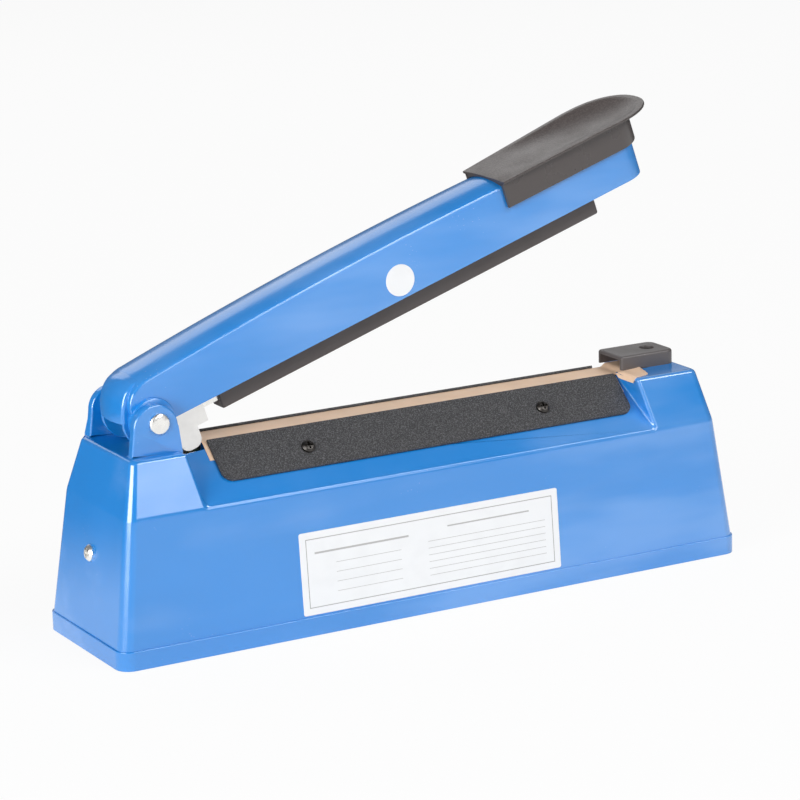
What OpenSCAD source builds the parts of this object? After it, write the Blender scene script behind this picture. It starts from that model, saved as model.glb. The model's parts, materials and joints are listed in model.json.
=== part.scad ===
// Hand impulse sealer for plastic bags, 200 mm class, drawn with its arm open.
// Frame: origin at the centre of the foot rim, +X towards the grip, -Y the label side, +Z up.
// Pieces of the arm are drawn in the arm's own frame: x along the closed arm from the hinge axis.

/* [Body shell] */
// Length over the foot skirt
skirt_l = 310; // [306:1:330]
// Width over the foot skirt
skirt_w = 76.6; // [75:0.2:86]
// Height of the foot skirt
skirt_h = 8.3; // [6:0.1:11]
// Corner radius of the foot skirt
skirt_r = 6.7; // [5:0.1:10]
// Ledge between the skirt and the wall above it
ledge = 0.8; // [0.4:0.1:1.4]
// Height of the knee, where the upper walls start to lean in
knee_z = 62.8; // [60:0.1:65]
// Length at the knee
knee_l = 293.8; // [290:0.2:298]
// Width at the knee
knee_w = 65.8; // [63:0.2:70]
// Corner radius at the knee
knee_r = 4.9; // [4:0.1:7]
// Height of the end towers
tower_z = 85.8; // [84:0.1:90]
// Length over the tower tops
tower_l = 282; // [280:0.5:288]
// Width of the tower tops
tower_w = 52.4; // [50:0.2:56]
// Corner radius of the tower tops
tower_r = 3.4; // [3:0.1:5]
// Wall thickness of the shell
wall = 2.6; // [2:0.1:3]
// Step down from the tower tops to the ridge between them
ridge_drop = 2.1; // [1.5:0.1:3]
// Width of the flat ridge
ridge_w = 18; // [16:0.2:20]
// Left tower's inner wall, at the tower top
left_wall_top = -115.5; // [-117:0.1:-115]
// Left tower's inner wall, at the knee
left_wall_knee = -110.5; // [-113:0.1:-108]
// Right tower's inner wall in front of the ridge, at the tower top
right_wall_top = 108.5; // [108:0.1:110]
// Right tower's inner wall on the ridge and behind it, at the tower top
bed_wall_top = 124; // [123:0.1:126]
// How much further out the right tower's inner walls stand at the knee
right_wall_lean = 5.5; // [4:0.1:7]

/* [Hinge] */
// Hinge axis along the body
pivot_x = -125; // [-126:0.1:-124]
// Height of the hinge axis above the tower top
pivot_h = 12.9; // [12:0.1:15]
// Diameter of the hinge pin
pin_d = 6; // [4.5:0.1:6.5]
// Diameter of the pin's head
pin_head_d = 9.2; // [8:0.1:11]
// Running clearance around the pin, on the radius
pin_clear = 0.05; // [0.02:0.01:0.1]
// Half width of a lug
lug_r = 10.3; // [9.5:0.1:11]
// Thickness of a lug
lug_t = 4.2; // [3:0.1:5]
// Twice the distance of the front lug from the arm's middle
lug_gap = 32.6; // [32.4:0.1:35]
// Side play between the arm's hubs and the lugs
hub_play = 0.3; // [0.2:0.05:0.6]
// How far the arm stands open
open_angle = 18.2; // [14:0.1:22]

/* [Arm] */
// Length of the arm from the hinge axis to its end
arm_l = 259; // [255:0.5:264]
// Width of the arm
arm_w = 28; // [27:0.1:29]
// Lower edge of the arm's side walls, below the hinge axis
arm_low = 3.4; // [2.5:0.1:4.5]
// Highest point of the side walls above the hinge axis
crease_top = 22.4; // [21:0.1:24]
// Crown of the arm's roof above its side walls
crown_h = 2.1; // [1.5:0.1:2.6]
// Radius of the arm's nose, round the hinge
nose_r = 12.4; // [12:0.1:13]
// Width of the arm's nose, between the broader side panels
nose_w = 21.2; // [20.8:0.1:22]
// Where the side panels start, behind the hinge axis
panel_back = 7.5; // [7:0.1:8.5]
// Wall thickness of the arm
arm_wall = 2; // [1.6:0.1:2.4]
// Diameter of the arm's hubs
hub_d = 20; // [18:0.5:20.5]

/* [Arm frame and press bar] */
// Outer width of the steel frame in the arm
frame_w = 20; // [19:0.1:22]
// Sheet thickness of the frame
frame_t = 1.5; // [1:0.1:1.8]
// Underside of the frame's web above the hinge axis
web_z = 6.3; // [6.2:0.1:7.5]
// Where the frame ends, from the hinge axis
frame_end = 240; // [232:0.5:246]
// Ear that reaches down to the switch, lowest point below the hinge axis
ear_low = 21.8; // [21.3:0.1:22]
// Length of the rubber
rubber_l = 200; // [190:0.5:200]
// Where the rubber starts, from the hinge axis
rubber_start = 35; // [33:0.5:40]
// Width of the rubber
rubber_w = 10; // [9:0.2:12]
// Top of the rubber below the hinge axis
rubber_top = 3.6; // [3.5:0.1:4.5]
// Gap left under the rubber when the arm is down
press_gap = 0.3; // [0.2:0.05:0.6]
// Width of the steel press bar in the rubber
bar_w = 6; // [5.8:0.1:7]
// Height of the press bar
bar_h = 4.5; // [4:0.1:5]
// Thickness of the rubber under the bar
pad_t = 4.1; // [3:0.1:4.6]
// Bar end that sticks out of the rubber, towards the hinge
bar_stub = 9; // [6:0.5:10]

/* [Grip] */
// Where the grip starts, from the hinge axis
grip_start = 188; // [180:0.5:196]
// Overhang of the grip's tip past the arm's end
grip_over = 13.5; // [10:0.5:18]
// Width of the grip's top
grip_w = 36.4; // [35:0.2:40]
// Wall of the grip around the arm
grip_wall = 1.8; // [1.4:0.1:2.4]
// Lower edge of the grip's skirt above the hinge axis
grip_low = 12.2; // [8:0.1:14]
// Height of the grip's crown above the hinge axis
grip_top = 26.4; // [26.2:0.1:28]
// How far the rim around the thumb dish stands above the crown
rim_rise = 1.4; // [0.8:0.1:2]
// Where the rim has risen to its full height, from the hinge axis
rim_start = 240; // [234:0.5:244]
// Depth of the thumb dish below the rim
dish_depth = 3.6; // [1.5:0.1:3.8]

/* [Sealing bed] */
// Left end of the sealing bed
bed_x0 = -99.5; // [-100:0.1:-98]
// Right end of the sealing bed
bed_x1 = 112; // [111.5:0.1:113]
// Width of the aluminium seal bar
seal_bar_w = 12; // [10:0.2:14]
// Height of the seal bar
seal_bar_h = 4; // [3:0.1:5]
// Thickness of the insulating strip
strip_t = 0.2; // [0.15:0.05:0.3]
// Width of the heating ribbon
ribbon_w = 2.5; // [2:0.1:4]
// Thickness of the heating ribbon
ribbon_t = 0.2; // [0.15:0.05:0.3]
// Thickness of the coated cloth
cloth_t = 0.25; // [0.2:0.05:0.3]
// How far the cloth runs down each slope
cloth_down = 9; // [7:0.1:9.2]

/* [Clamp plates] */
// Length of a clamp plate
plate_l = 205; // [196:0.5:206]
// Middle of the clamp plates along the body
plate_x = 4.5; // [3:0.1:5]
// Width of a clamp plate down the slope
plate_w = 22; // [19:0.2:23]
// Thickness of a clamp plate
plate_t = 1; // [0.8:0.1:1.2]
// Radius of a plate's lower corners
plate_r = 5; // [3:0.2:7]
// Distance between a plate's two screws
plate_pitch = 118; // [100:1:140]
// Screws' place down the slope
plate_screw_d = 11; // [10.8:0.1:13]

/* [End cap] */
// Length of the cap on the right tower
cap_l = 29; // [28:0.2:29.5]
// Width of the cap
cap_w = 20; // [18.8:0.2:22]
// Height of the cap
cap_h = 6.6; // [6.2:0.1:8]
// Wall of the cap
cap_wall = 1.8; // [1.4:0.1:2.2]
// Radius of the cap's outer corners
cap_r = 4; // [3:0.1:6]
// Diameter of the hole over the cap's screw
cap_hole_d = 6.6; // [6.4:0.1:7.4]

/* [Rear controls] */
// Timer knob's place along the body
knob_x = 72; // [66:0.5:76]
// Height of the row of controls
control_z = 34; // [32:0.5:37]
// Diameter of the timer knob
knob_d = 22; // [18:0.5:26]
// Height of the timer knob
knob_h = 12; // [9:0.5:15]
// Diameter of the dial plate
dial_d = 38; // [34:0.5:42]
// Pilot lamp's place along the body
lamp_x = 22; // [16:0.5:30]
// Diameter of the lamp's lens
lamp_d = 8; // [6:0.2:9]
// Cord inlet's place along the body
inlet_x = -100; // [-110:0.5:-90]
// Height of the cord inlet
inlet_z = 24; // [22:0.5:30]
// Diameter of the cord inlet's bore
inlet_d = 7.2; // [6:0.1:8]

/* [Labels] */
// Length of the front label
label_l = 129; // [100:1:150]
// Height of the front label
label_h = 36; // [25:0.5:36.5]
// Middle of the front label along the body
label_x = -4.5; // [-15:0.5:5]
// Height of the label's middle
label_z = 27; // [27:0.5:32]
// Diameter of the round sticker on the arm
sticker_d = 14; // [10:0.5:16]
// Sticker's place along the arm
sticker_x = 128; // [110:0.5:140]

/* [Inside] */
// Sheet thickness of the base plate
base_t = 1.2; // [1:0.1:1.5]
// Height of the rubber feet under the base plate
foot_h = 2.5; // [2:0.1:3.5]
// Diameter of a rubber foot
foot_d = 14; // [10:0.5:18]
// Length of the transformer's core
core_l = 54; // [48:1:60]
// Height of the transformer's core
core_h = 45; // [42:1:50]
// Stack thickness of the core
core_w = 26; // [22:1:30]
// Middle of the transformer along the body
core_x = -35; // [-40:1:-30]
// Free height of the switch's plunger
plunger_h = 1.2; // [1:0.05:1.3]
// Diameter of the switch's plunger
plunger_d = 2.8; // [2.4:0.1:2.9]

/* [Hidden] */
$fn = 48;

// Small lengths used all over
thin = 0.01;
over = 1;
seat = 0.05;
free = 0.3;
hull_fn = 32;

// Lean of the walls and places on them
wall_tilt = atan((skirt_w / 2 - ledge - knee_w / 2) / (knee_z - skirt_h));
end_tilt = atan((skirt_l / 2 - ledge - knee_l / 2) / (knee_z - skirt_h));
function wall_y(z) = skirt_w / 2 - ledge - (z - skirt_h) * tan(wall_tilt);
function end_x(z) = skirt_l / 2 - ledge - (z - skirt_h) * tan(end_tilt);
module on_rear_wall(x, z) translate([x, wall_y(z), z]) rotate([wall_tilt - 90, 0, 0]) children();
module on_front_wall(x, z) translate([x, -wall_y(z), z]) rotate([90 - wall_tilt, 0, 0]) children();
module on_end_wall(side, z)
    translate([side * end_x(z), 0, z]) rotate([0, side * (90 - end_tilt), 0]) children();

// Roof between the towers: a flat ridge with a slope to the knee on each side
ridge_z = tower_z - ridge_drop;
ridge_y = ridge_w / 2;
roof_angle = atan((ridge_z - knee_z) / (knee_w / 2 - ridge_y));
function roof_point(down, up) = [
    -ridge_y - down * cos(roof_angle) - up * sin(roof_angle),
    ridge_z - down * sin(roof_angle) + up * cos(roof_angle)];
module on_roof(x, down)
    translate([x, -ridge_y, ridge_z]) rotate([roof_angle, 0, 0]) translate([0, -down, 0]) children();

// Layers of the sealing bed
ribbon_z = ridge_z + strip_t;
cloth_z = ribbon_z + ribbon_t + seat;
bed_top = cloth_z + cloth_t;
plate_lift = seat + cloth_t + seat;
plate_over = 1;

// Arm frame of reference
pivot_z = tower_z + pivot_h;
module on_arm() translate([pivot_x, 0, pivot_z]) rotate([0, -open_angle, 0]) children();
lug_in = lug_gap / 2;
lug_out = lug_in + lug_t;
rear_lug_out = tower_w / 2;
rear_lug_in = rear_lug_out - lug_t;
pin_r = pin_d / 2;
pin_hole = pin_r + pin_clear;
rubber_low = pivot_z - bed_top - press_gap;
bar_low = rubber_low - pad_t;
bar_top = bar_low - bar_h;

// Hinge-end pocket in the ridge, with a slot on each side for the frame's ears
pocket_x0 = left_wall_top - 1;
pocket_floor = pivot_z - ear_low + over;
slot_out = frame_w / 2 + 0.7;
slot_in = frame_w / 2 - frame_t - 1.3;
pocket_y = slot_out + free;
switch_top = pocket_floor - wall;
ear_x0 = pocket_x0 - pivot_x + 1;
ear_x1 = ear_x0 + 10;
plunger_x = pivot_x + ear_x0 + 4.5;
plunger_y = -(slot_in + slot_out) / 2;
electrode_l = 7.5;
electrode_w = 9;
electrode_screw_l = 12;
left_electrode_x = bed_x0 - electrode_l / 2 - 0.2;
right_electrode_l = 11;
right_electrode_x = bed_x1 + right_electrode_l / 2 + 0.5;
electrode_pocket_w = electrode_w + 4;
electrode_floor = ridge_z - seal_bar_h;

// Cap on the right tower
cap_x0 = right_wall_top + 2.5;
cap_x1 = cap_x0 + cap_l;
cap_top = tower_z + cap_h;
cap_screw_x = cap_x1 - cap_w / 2 + 1;
flap_end = cap_x0 + 10;

// Screws: head radius, head height, shank radius
screw_clear = 0.05;
small_screw = [2.6, 1.7, 1.25];
plate_screw = [3, 1.9, 1.5];
plate_screw_l = 8;
end_screw = [3.6, 2.4, 2];
end_screw_z = 42;
foot_places = [for (sx = [-1, 1], sy = [-1, 1]) [sx * 125, sy * 22]];
plate_screw_xs = [plate_x - plate_pitch / 2, plate_x + plate_pitch / 2];
frame_screw_xs = [100, 200];
bar_bolt_xs = [60, 135, 210];
bar_bolt_r = 2;

// A pan-head screw with a cross recess, its head on z = 0 and its shank below
module pan_screw(size, length) {
    slot = size[0] * 0.3;
    difference() {
        union() {
            rotate_extrude() polygon([[0, 0], [size[0], 0], [size[0], size[1] * 0.45],
                [size[0] * 0.72, size[1] * 0.9], [size[0] * 0.35, size[1]], [0, size[1]]]);
            translate([0, 0, -length]) cylinder(r = size[2], h = length + thin);
        }
        for (turn = [0, 90]) rotate([0, 0, turn])
            translate([-size[0] * 0.6, -slot / 2, size[1] * 0.4]) cube([size[0] * 1.2, slot, size[1]]);
    }
}

module rounded_rect(l, w, r) {
    square([l - 2 * r, w], center = true);
    square([l, w - 2 * r], center = true);
    for (sx = [-1, 1], sy = [-1, 1]) translate([sx * (l / 2 - r), sy * (w / 2 - r)]) circle(r);
}

module centred_box(size, z0) translate([-size[0] / 2, -size[1] / 2, z0]) cube(size);

// A leaning block between two rounded rectangles, given as [length, width, radius, height]
module frustum(low, high) hull() {
    translate([0, 0, low[3]]) linear_extrude(thin) rounded_rect(low[0], low[1], low[2], $fn = hull_fn);
    translate([0, 0, high[3] - thin]) linear_extrude(thin)
        rounded_rect(high[0], high[1], high[2], $fn = hull_fn);
}

// The space over the roof, between the towers; sunk by a depth and spread by a width for the inside.
// Each half has its own right wall: the front one stops at the ridge's front edge.
module over_roof(sink, spread) {
    roof_part(sink, spread, right_wall_top, -skirt_w, -ridge_y + spread + thin);
    roof_part(sink, spread, bed_wall_top, -ridge_y - spread, skirt_w);
}
module roof_part(sink, spread, right_top, y0, y1) {
    reach = skirt_w;
    fall = (reach - ridge_y) * tan(roof_angle);
    rise = tower_z - knee_z;
    lean_l = (left_wall_knee - left_wall_top) / rise;
    lean_r = right_wall_lean / rise;
    intersection() {
        translate([-skirt_l, 0, -sink]) rotate([90, 0, 90]) linear_extrude(2 * skirt_l) polygon([
            [-reach, ridge_z - fall], [-ridge_y, ridge_z], [ridge_y, ridge_z], [reach, ridge_z - fall],
            [reach, ridge_z + reach], [-reach, ridge_z + reach]]);
        translate([0, y1, tower_z]) rotate([90, 0, 0]) linear_extrude(y1 - y0) polygon([
            [left_wall_top + lean_l * reach - spread, -reach], [right_top + lean_r * reach + spread, -reach],
            [right_top - lean_r * rise + spread, rise], [left_wall_top - lean_l * rise - spread, rise]]);
    }
}

lug_x = pivot_x - 1.4;
lug_z = pivot_z - 2;
lug_flare = 1.5;
module shell_outside() {
    difference() {
        union() {
            linear_extrude(skirt_h) rounded_rect(skirt_l, skirt_w, skirt_r);
            frustum([skirt_l - 2 * ledge, skirt_w - 2 * ledge, skirt_r - ledge, skirt_h - thin],
                [knee_l, knee_w, knee_r, knee_z]);
            frustum([knee_l, knee_w, knee_r, knee_z - thin], [tower_l, tower_w, tower_r, tower_z]);
        }
        over_roof(0, 0);
    }
    for (y = [-lug_in, rear_lug_out]) translate([0, y, 0]) rotate([90, 0, 0]) linear_extrude(lug_t) {
        translate([lug_x, lug_z]) circle(lug_r);
        polygon([[lug_x - lug_r - lug_flare, tower_z - over], [lug_x + lug_r + lug_flare, tower_z - over],
            [lug_x + lug_r, lug_z], [lug_x - lug_r, lug_z]]);
    }
}

module shell_inside() difference() {
    side = 2 * (ledge + wall);
    union() {
        translate([0, 0, -over]) linear_extrude(skirt_h + over)
            rounded_rect(skirt_l - side, skirt_w - side, skirt_r - ledge);
        frustum([skirt_l - side, skirt_w - side, skirt_r - ledge, skirt_h - thin],
            [knee_l - 2 * wall, knee_w - 2 * wall, knee_r, knee_z]);
        frustum([knee_l - 2 * wall, knee_w - 2 * wall, knee_r, knee_z - over],
            [tower_l - 2 * wall, tower_w - 2 * wall, tower_r, tower_z - wall]);
    }
    over_roof(wall / cos(roof_angle), wall);
    translate([pocket_x0 - wall, -pocket_y - wall, switch_top])
        cube([bed_x0 - pocket_x0 + 2 * wall, 2 * (pocket_y + wall), tower_z]);
    translate([bed_x0 - wall, -seal_bar_w / 2 - wall, electrode_floor - wall])
        cube([right_electrode_x + right_electrode_l - bed_x0 + wall, seal_bar_w + 2 * wall, tower_z]);
    for (x = board_post_xs) on_rear_wall(knob_x + x, control_z)
        translate([0, 0, -board_depth]) cylinder(r = board_post_r, h = board_depth);
}

module body_shell() color([0.12, 0.47, 0.85]) difference() {
    shell_outside();
    shell_inside();
    translate([pivot_x, 0, pivot_z]) rotate([90, 0, 0]) cylinder(r = pin_hole, h = skirt_w, center = true);
    translate([pocket_x0, -pocket_y, pocket_floor])
        cube([bed_x0 - pocket_x0, 2 * pocket_y, tower_z]);
    for (side = [0, 1]) mirror([0, side, 0]) translate([pocket_x0, slot_in, switch_top - over])
        cube([bed_x0 - pocket_x0 - over, slot_out - slot_in, wall + 2 * over]);
    translate([bed_x0 - over, -seal_bar_w / 2 - seat, electrode_floor])
        cube([bed_x1 - bed_x0 + over + thin, seal_bar_w + 2 * seat, tower_z]);
    translate([bed_x1, -electrode_pocket_w / 2, electrode_floor])
        cube([right_electrode_l + over, electrode_pocket_w, tower_z]);
    for (x = [left_electrode_x, right_electrode_x]) translate([x, 0, knee_z])
        cylinder(r = small_screw[2] + screw_clear, h = tower_z - knee_z);
    for (side = [0, 1], x = plate_screw_xs) mirror([0, side, 0]) on_roof(x, plate_screw_d)
        cylinder(r = plate_screw[2] + screw_clear, h = 4 * wall, center = true);
    translate([cap_screw_x, 0, knee_z]) cylinder(r = plate_screw[2] + screw_clear, h = tower_z);
    for (side = [-1, 1]) on_end_wall(side, end_screw_z)
        cylinder(r = end_screw[2] + screw_clear, h = 4 * wall, center = true);
    on_rear_wall(knob_x, control_z) cylinder(r = bush_r + screw_clear, h = 4 * wall, center = true);
    on_rear_wall(lamp_x, control_z) cylinder(r = lamp_body_r + screw_clear, h = 4 * wall, center = true);
    on_rear_wall(inlet_x, inlet_z) cylinder(r = gland_r + screw_clear, h = 4 * wall, center = true);
    for (x = board_post_xs) on_rear_wall(knob_x + x, control_z)
        translate([0, 0, -board_depth - over]) cylinder(r = small_screw[2] + screw_clear, h = board_depth);
}

// Base plate with an upturned tab inside each end wall
base_top = foot_h + base_t;
base_play = 0.4;
tab_w = 34;
tab_top = end_screw_z + 8;
function tab_x(z) = end_x(max(z, skirt_h)) - wall - seat;
module base_plate() color([0.62, 0.64, 0.66]) difference() {
    side_play = ledge + wall + base_play;
    union() {
        translate([0, 0, foot_h]) linear_extrude(base_t)
            rounded_rect(2 * tab_x(foot_h) - base_t, skirt_w - 2 * side_play, skirt_r - ledge);
        for (side = [0, 1]) mirror([side, 0, 0]) translate([0, tab_w / 2, 0]) rotate([90, 0, 0])
            linear_extrude(tab_w) polygon([
                [tab_x(foot_h), foot_h], [tab_x(skirt_h), skirt_h], [tab_x(tab_top), tab_top],
                [tab_x(tab_top) - base_t, tab_top], [tab_x(skirt_h) - base_t, skirt_h],
                [tab_x(foot_h) - base_t, foot_h]]);
    }
    for (side = [-1, 1]) on_end_wall(side, end_screw_z)
        cylinder(r = end_screw[2] + screw_clear, h = 8 * wall, center = true);
    for (x = strap_screw_xs) translate([x, 0, -over])
        cylinder(r = plate_screw[2] + screw_clear, h = base_top + 2 * over);
}

module rubber_feet() color([0.1, 0.1, 0.1])
    for (p = foot_places) translate([p[0], p[1], 0]) cylinder(d = foot_d, h = foot_h);

module end_screws() color([0.85, 0.85, 0.85])
    for (side = [-1, 1]) on_end_wall(side, end_screw_z) pan_screw(end_screw, 8);

// Pin with a low domed head at the front and a push-on clip at the back
pin_head_h = 1.8;
clip_t = 1.2;
pin_tail = 2.4;
module hinge_pin() color([0.9, 0.9, 0.9]) translate([pivot_x, 0, pivot_z]) rotate([90, 0, 0]) {
    translate([0, 0, -rear_lug_out - pin_tail])
        cylinder(d = pin_d, h = rear_lug_out + lug_out + pin_tail + thin);
    translate([0, 0, lug_out]) rotate_extrude() polygon([[0, 0], [pin_head_d / 2, 0],
        [pin_head_d / 2, pin_head_h * 0.5], [pin_head_d * 0.42, pin_head_h * 0.85],
        [pin_head_d * 0.25, pin_head_h], [0, pin_head_h]]);
}

module pin_clip() color([0.7, 0.7, 0.72])
    translate([pivot_x, rear_lug_out + clip_t + seat, pivot_z]) rotate([90, 0, 0]) difference() {
        cylinder(d = pin_head_d + 1.5, h = clip_t);
        translate([0, 0, -over]) cylinder(r = pin_r + screw_clear, h = clip_t + 2 * over);
    }

// Torsion spring on the pin: a leg down to the tower top, coils, and a leg under the frame's web
spring_wire_r = 0.7;
spring_r = 5.2;
spring_coils = 4;
spring_pitch = 2;
spring_rings = 8;
spring_sides = 6;
lower_leg_start = 222;
lower_leg_slope = lower_leg_start - 270;
upper_leg_l = 24;
lower_leg_l = (pivot_h + spring_r * sin(lower_leg_start) - spring_wire_r - free) / -sin(lower_leg_slope);
spring_turn = lower_leg_start - (90 + open_angle) + 360 * spring_coils;
spring_steps = ceil(spring_turn / 360 * spring_rings);
spring_half = spring_pitch * spring_turn / 720;
function spring_point(turned) = [
    spring_r * cos(lower_leg_start - turned),
    -spring_half + spring_pitch * turned / 360,
    spring_r * sin(lower_leg_start - turned)];
spring_coil = [for (i = [0:spring_steps]) spring_point(spring_turn * i / spring_steps)];
spring_path = concat(
    [spring_coil[0] + lower_leg_l * [cos(lower_leg_slope), 0, sin(lower_leg_slope)]],
    spring_coil,
    [spring_coil[spring_steps] + upper_leg_l * [cos(open_angle), 0, sin(open_angle)]]);
spring_gaps = [for (i = [0:len(spring_path) - 1]) for (j = [i + 4:1:len(spring_path) - 1])
    norm(spring_path[i] - spring_path[j]) - 2 * spring_wire_r];
echo(least_gap_in_return_spring = min(spring_gaps));

// A closed tube along a path, with rings square to the path's bends
function unit(v) = v / norm(v);
function along(path, i) = unit(path[min(i + 1, len(path) - 1)] - path[max(i - 1, 0)]);
module tube(path, r, sides) {
    rings = len(path);
    points = [for (i = [0:rings - 1])
        let (t = along(path, i), a = unit(cross(t, [0, 1, 0])), b = cross(t, a))
        for (k = [0:sides - 1]) path[i] + r * (cos(360 * k / sides) * a + sin(360 * k / sides) * b)];
    walls = [for (i = [0:rings - 2]) for (k = [0:sides - 1]) let (n = (k + 1) % sides, p = i * sides)
        each [[p + k, p + sides + k, p + n], [p + n, p + sides + k, p + sides + n]]];
    last = (rings - 1) * sides;
    caps = [for (k = [1:sides - 2]) each [[0, k, k + 1], [last, last + k + 1, last + k]]];
    polyhedron(points, concat(walls, caps));
}

module return_spring() color([0.6, 0.6, 0.6])
    translate([pivot_x, 0, pivot_z]) tube(spring_path, spring_wire_r, spring_sides);

// Side walls rise a little towards the middle of the arm
crease_mid = 150;
crease_bow = 0.000238;
arm_end_r = 7;
nose_x = -2;
nose_z = 7;
nose_edge = 3.3;
function crease(x) = crease_top - crease_bow * pow(x - crease_mid, 2);

// Side outline of the arm at a distance y from its middle plane, grown by a margin
function dome(y) = crown_h * (1 - pow(min(1, abs(y) / (arm_w / 2)), 2));
function arm_end(y) = arm_l - arm_end_r
    + sqrt(max(0, pow(arm_end_r, 2) - pow(max(0, abs(y) - arm_w / 2 + arm_end_r), 2)));
function arm_outline(y, grow, low) = let (r = nose_r - crown_h + dome(y) + grow) concat(
    [for (a = [90, 75, 60, 45, 30, 15]) [nose_x - r * sin(a), nose_z + r * cos(a)]],
    [for (x = [20, 60, 100, 150, 200, arm_end(y) + grow]) [x, crease(x) + dome(y) + grow]],
    [[arm_end(y) + grow, low], [nose_x - r, low]]);

// The arm as one solid of a given width, grown or shrunk by a margin on every side
module arm_solid(width, grow, low) hull() for (u = [0, 0.3, 0.55, 0.75, 0.9, 1], side = [-1, 1])
    let (y = side * u * width / 2) translate([0, y + side * u * grow + thin / 2, 0]) rotate([90, 0, 0])
        linear_extrude(thin) polygon(arm_outline(y, grow, low));
module arm_body(grow, low) {
    arm_solid(nose_w, grow, low);
    intersection() {
        arm_solid(arm_w, grow, low);
        translate([-panel_back - grow, -arm_w, -arm_w]) cube([2 * arm_l, 2 * arm_w, 3 * arm_w]);
    }
}

hub_out = lug_in - hub_play;
rear_boss_d = 13;
// Hollow arm with a hub at each side; the rear hub's boss reaches on to the rear lug, flush with the tower
module press_arm() color([0.12, 0.47, 0.85]) on_arm() difference() {
    union() {
        difference() {
            arm_body(0, -arm_low);
            difference() {
                arm_body(-arm_wall, -arm_low - over);
                for (x = frame_screw_xs) translate([x, 0, web_z + frame_t])
                    cylinder(r = 4, h = crease_top + crown_h);
            }
            translate([nose_x - nose_r - over, -nose_w / 2 + arm_wall, -arm_low - over])
                cube([nose_r / 2 + over, nose_w - 2 * arm_wall, arm_low + over + nose_edge]);
        }
        for (side = [0, 1]) mirror([0, side, 0]) translate([0, hub_out, 0]) rotate([90, 0, 0])
            cylinder(d = hub_d, h = hub_out - arm_w / 2 + arm_wall);
        translate([0, rear_lug_in - hub_play, 0]) rotate([90, 0, 0])
            cylinder(d = rear_boss_d, h = rear_lug_in - hub_play - hub_out + over);
    }
    rotate([90, 0, 0]) cylinder(r = pin_hole, h = 2 * rear_lug_out, center = true);
    for (x = frame_screw_xs) translate([x, 0, 0])
        cylinder(r = small_screw[2] + screw_clear, h = web_z + frame_t + 6);
}

// Steel channel in the arm, with ears that carry the pin and reach down to the switch
ear_r = 4;
tab_x1 = ear_x1 + 5.5;
tab_low = rubber_low - 0.9;
side_low = arm_low - 0.9;
frame_start = arm_wall - panel_back + free;
module frame_side() {
    top = web_z + frame_t;
    translate([frame_start, -side_low]) square([frame_end - frame_start, side_low + top]);
    circle(-frame_start);
    translate([ear_x0, -ear_low + ear_r]) square([ear_x1 - ear_x0, ear_low - ear_r]);
    translate([ear_x0 + ear_r, -ear_low]) square([ear_x1 - ear_x0 - 2 * ear_r, ear_low]);
    for (x = [ear_x0 + ear_r, ear_x1 - ear_r]) translate([x, -ear_low + ear_r]) circle(ear_r);
    translate([ear_x1 - over, -tab_low]) square([tab_x1 - ear_x1 + over, tab_low]);
}
module arm_frame() color([0.8, 0.8, 0.8]) on_arm() difference() {
    union() {
        for (side = [0, 1]) mirror([0, side, 0]) translate([0, frame_w / 2, 0]) rotate([90, 0, 0])
            linear_extrude(frame_t) frame_side();
        translate([frame_start, -frame_w / 2, web_z]) cube([frame_end - frame_start, frame_w, frame_t]);
    }
    rotate([90, 0, 0]) cylinder(r = pin_hole, h = lug_gap, center = true);
    for (x = frame_screw_xs) translate([x, 0, 0]) cylinder(r = small_screw[2] + screw_clear, h = 3 * web_z);
    for (x = bar_bolt_xs) translate([x, 0, 0]) cylinder(r = bar_bolt_r + screw_clear, h = 3 * web_z);
}

module frame_screws() color([0.75, 0.75, 0.75]) on_arm()
    for (x = frame_screw_xs) translate([x, 0, web_z]) mirror([0, 0, 1]) pan_screw(small_screw, frame_t + 5);

bolt_head_h = 2.6;
module bar_bolts() color([0.75, 0.75, 0.75]) on_arm() for (x = bar_bolt_xs) translate([x, 0, 0]) {
    translate([0, 0, -bar_low]) cylinder(r = bar_bolt_r, h = bar_low + web_z + frame_t + thin);
    translate([0, 0, web_z + frame_t]) cylinder(r = 3.6, h = bolt_head_h, $fn = 6);
}

module bar_spacers() color([0.7, 0.7, 0.7]) on_arm() for (x = bar_bolt_xs)
    translate([x, 0, -bar_top]) difference() {
        cylinder(d = bar_w - 0.2, h = bar_top + web_z);
        translate([0, 0, -over]) cylinder(r = bar_bolt_r + screw_clear, h = bar_top + web_z + 2 * over);
    }

module press_bar() color([0.88, 0.88, 0.88]) on_arm() difference() {
    translate([rubber_start - bar_stub, -bar_w / 2, -bar_low])
        cube([rubber_l + bar_stub - over, bar_w, bar_h]);
    for (x = bar_bolt_xs) translate([x, 0, -rubber_low])
        cylinder(r = bar_bolt_r + screw_clear, h = rubber_low);
}

rubber_r = 1.2;
module press_rubber() color([0.3, 0.29, 0.29]) on_arm()
    translate([rubber_start, 0, 0]) rotate([90, 0, 90]) linear_extrude(rubber_l) difference() {
        union() {
            translate([-rubber_w / 2, -rubber_low + rubber_r])
                square([rubber_w, rubber_low - rubber_top - rubber_r]);
            translate([-rubber_w / 2 + rubber_r, -rubber_low])
                square([rubber_w - 2 * rubber_r, rubber_low / 2]);
            for (side = [-1, 1]) translate([side * (rubber_w / 2 - rubber_r), -rubber_low + rubber_r])
                circle(rubber_r);
        }
        translate([-bar_w / 2 - seat, -bar_low]) square([bar_w + 2 * seat, bar_low]);
    }

// Grip: a skirt around the arm's end under a broad crowned top, whose rim rises around a thumb dish
grip_fit = 0.25;
grip_half = grip_w / 2;
grip_tip = arm_l + grip_over;
grip_round = 23;
grip_crown_r = 80;
grip_top_t = 3.9;
lip_z = grip_top - grip_crown_r + sqrt(grip_crown_r * grip_crown_r - grip_half * grip_half);
rim_top = grip_top + rim_rise;
rim_ramp = rim_start - 35;
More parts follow.
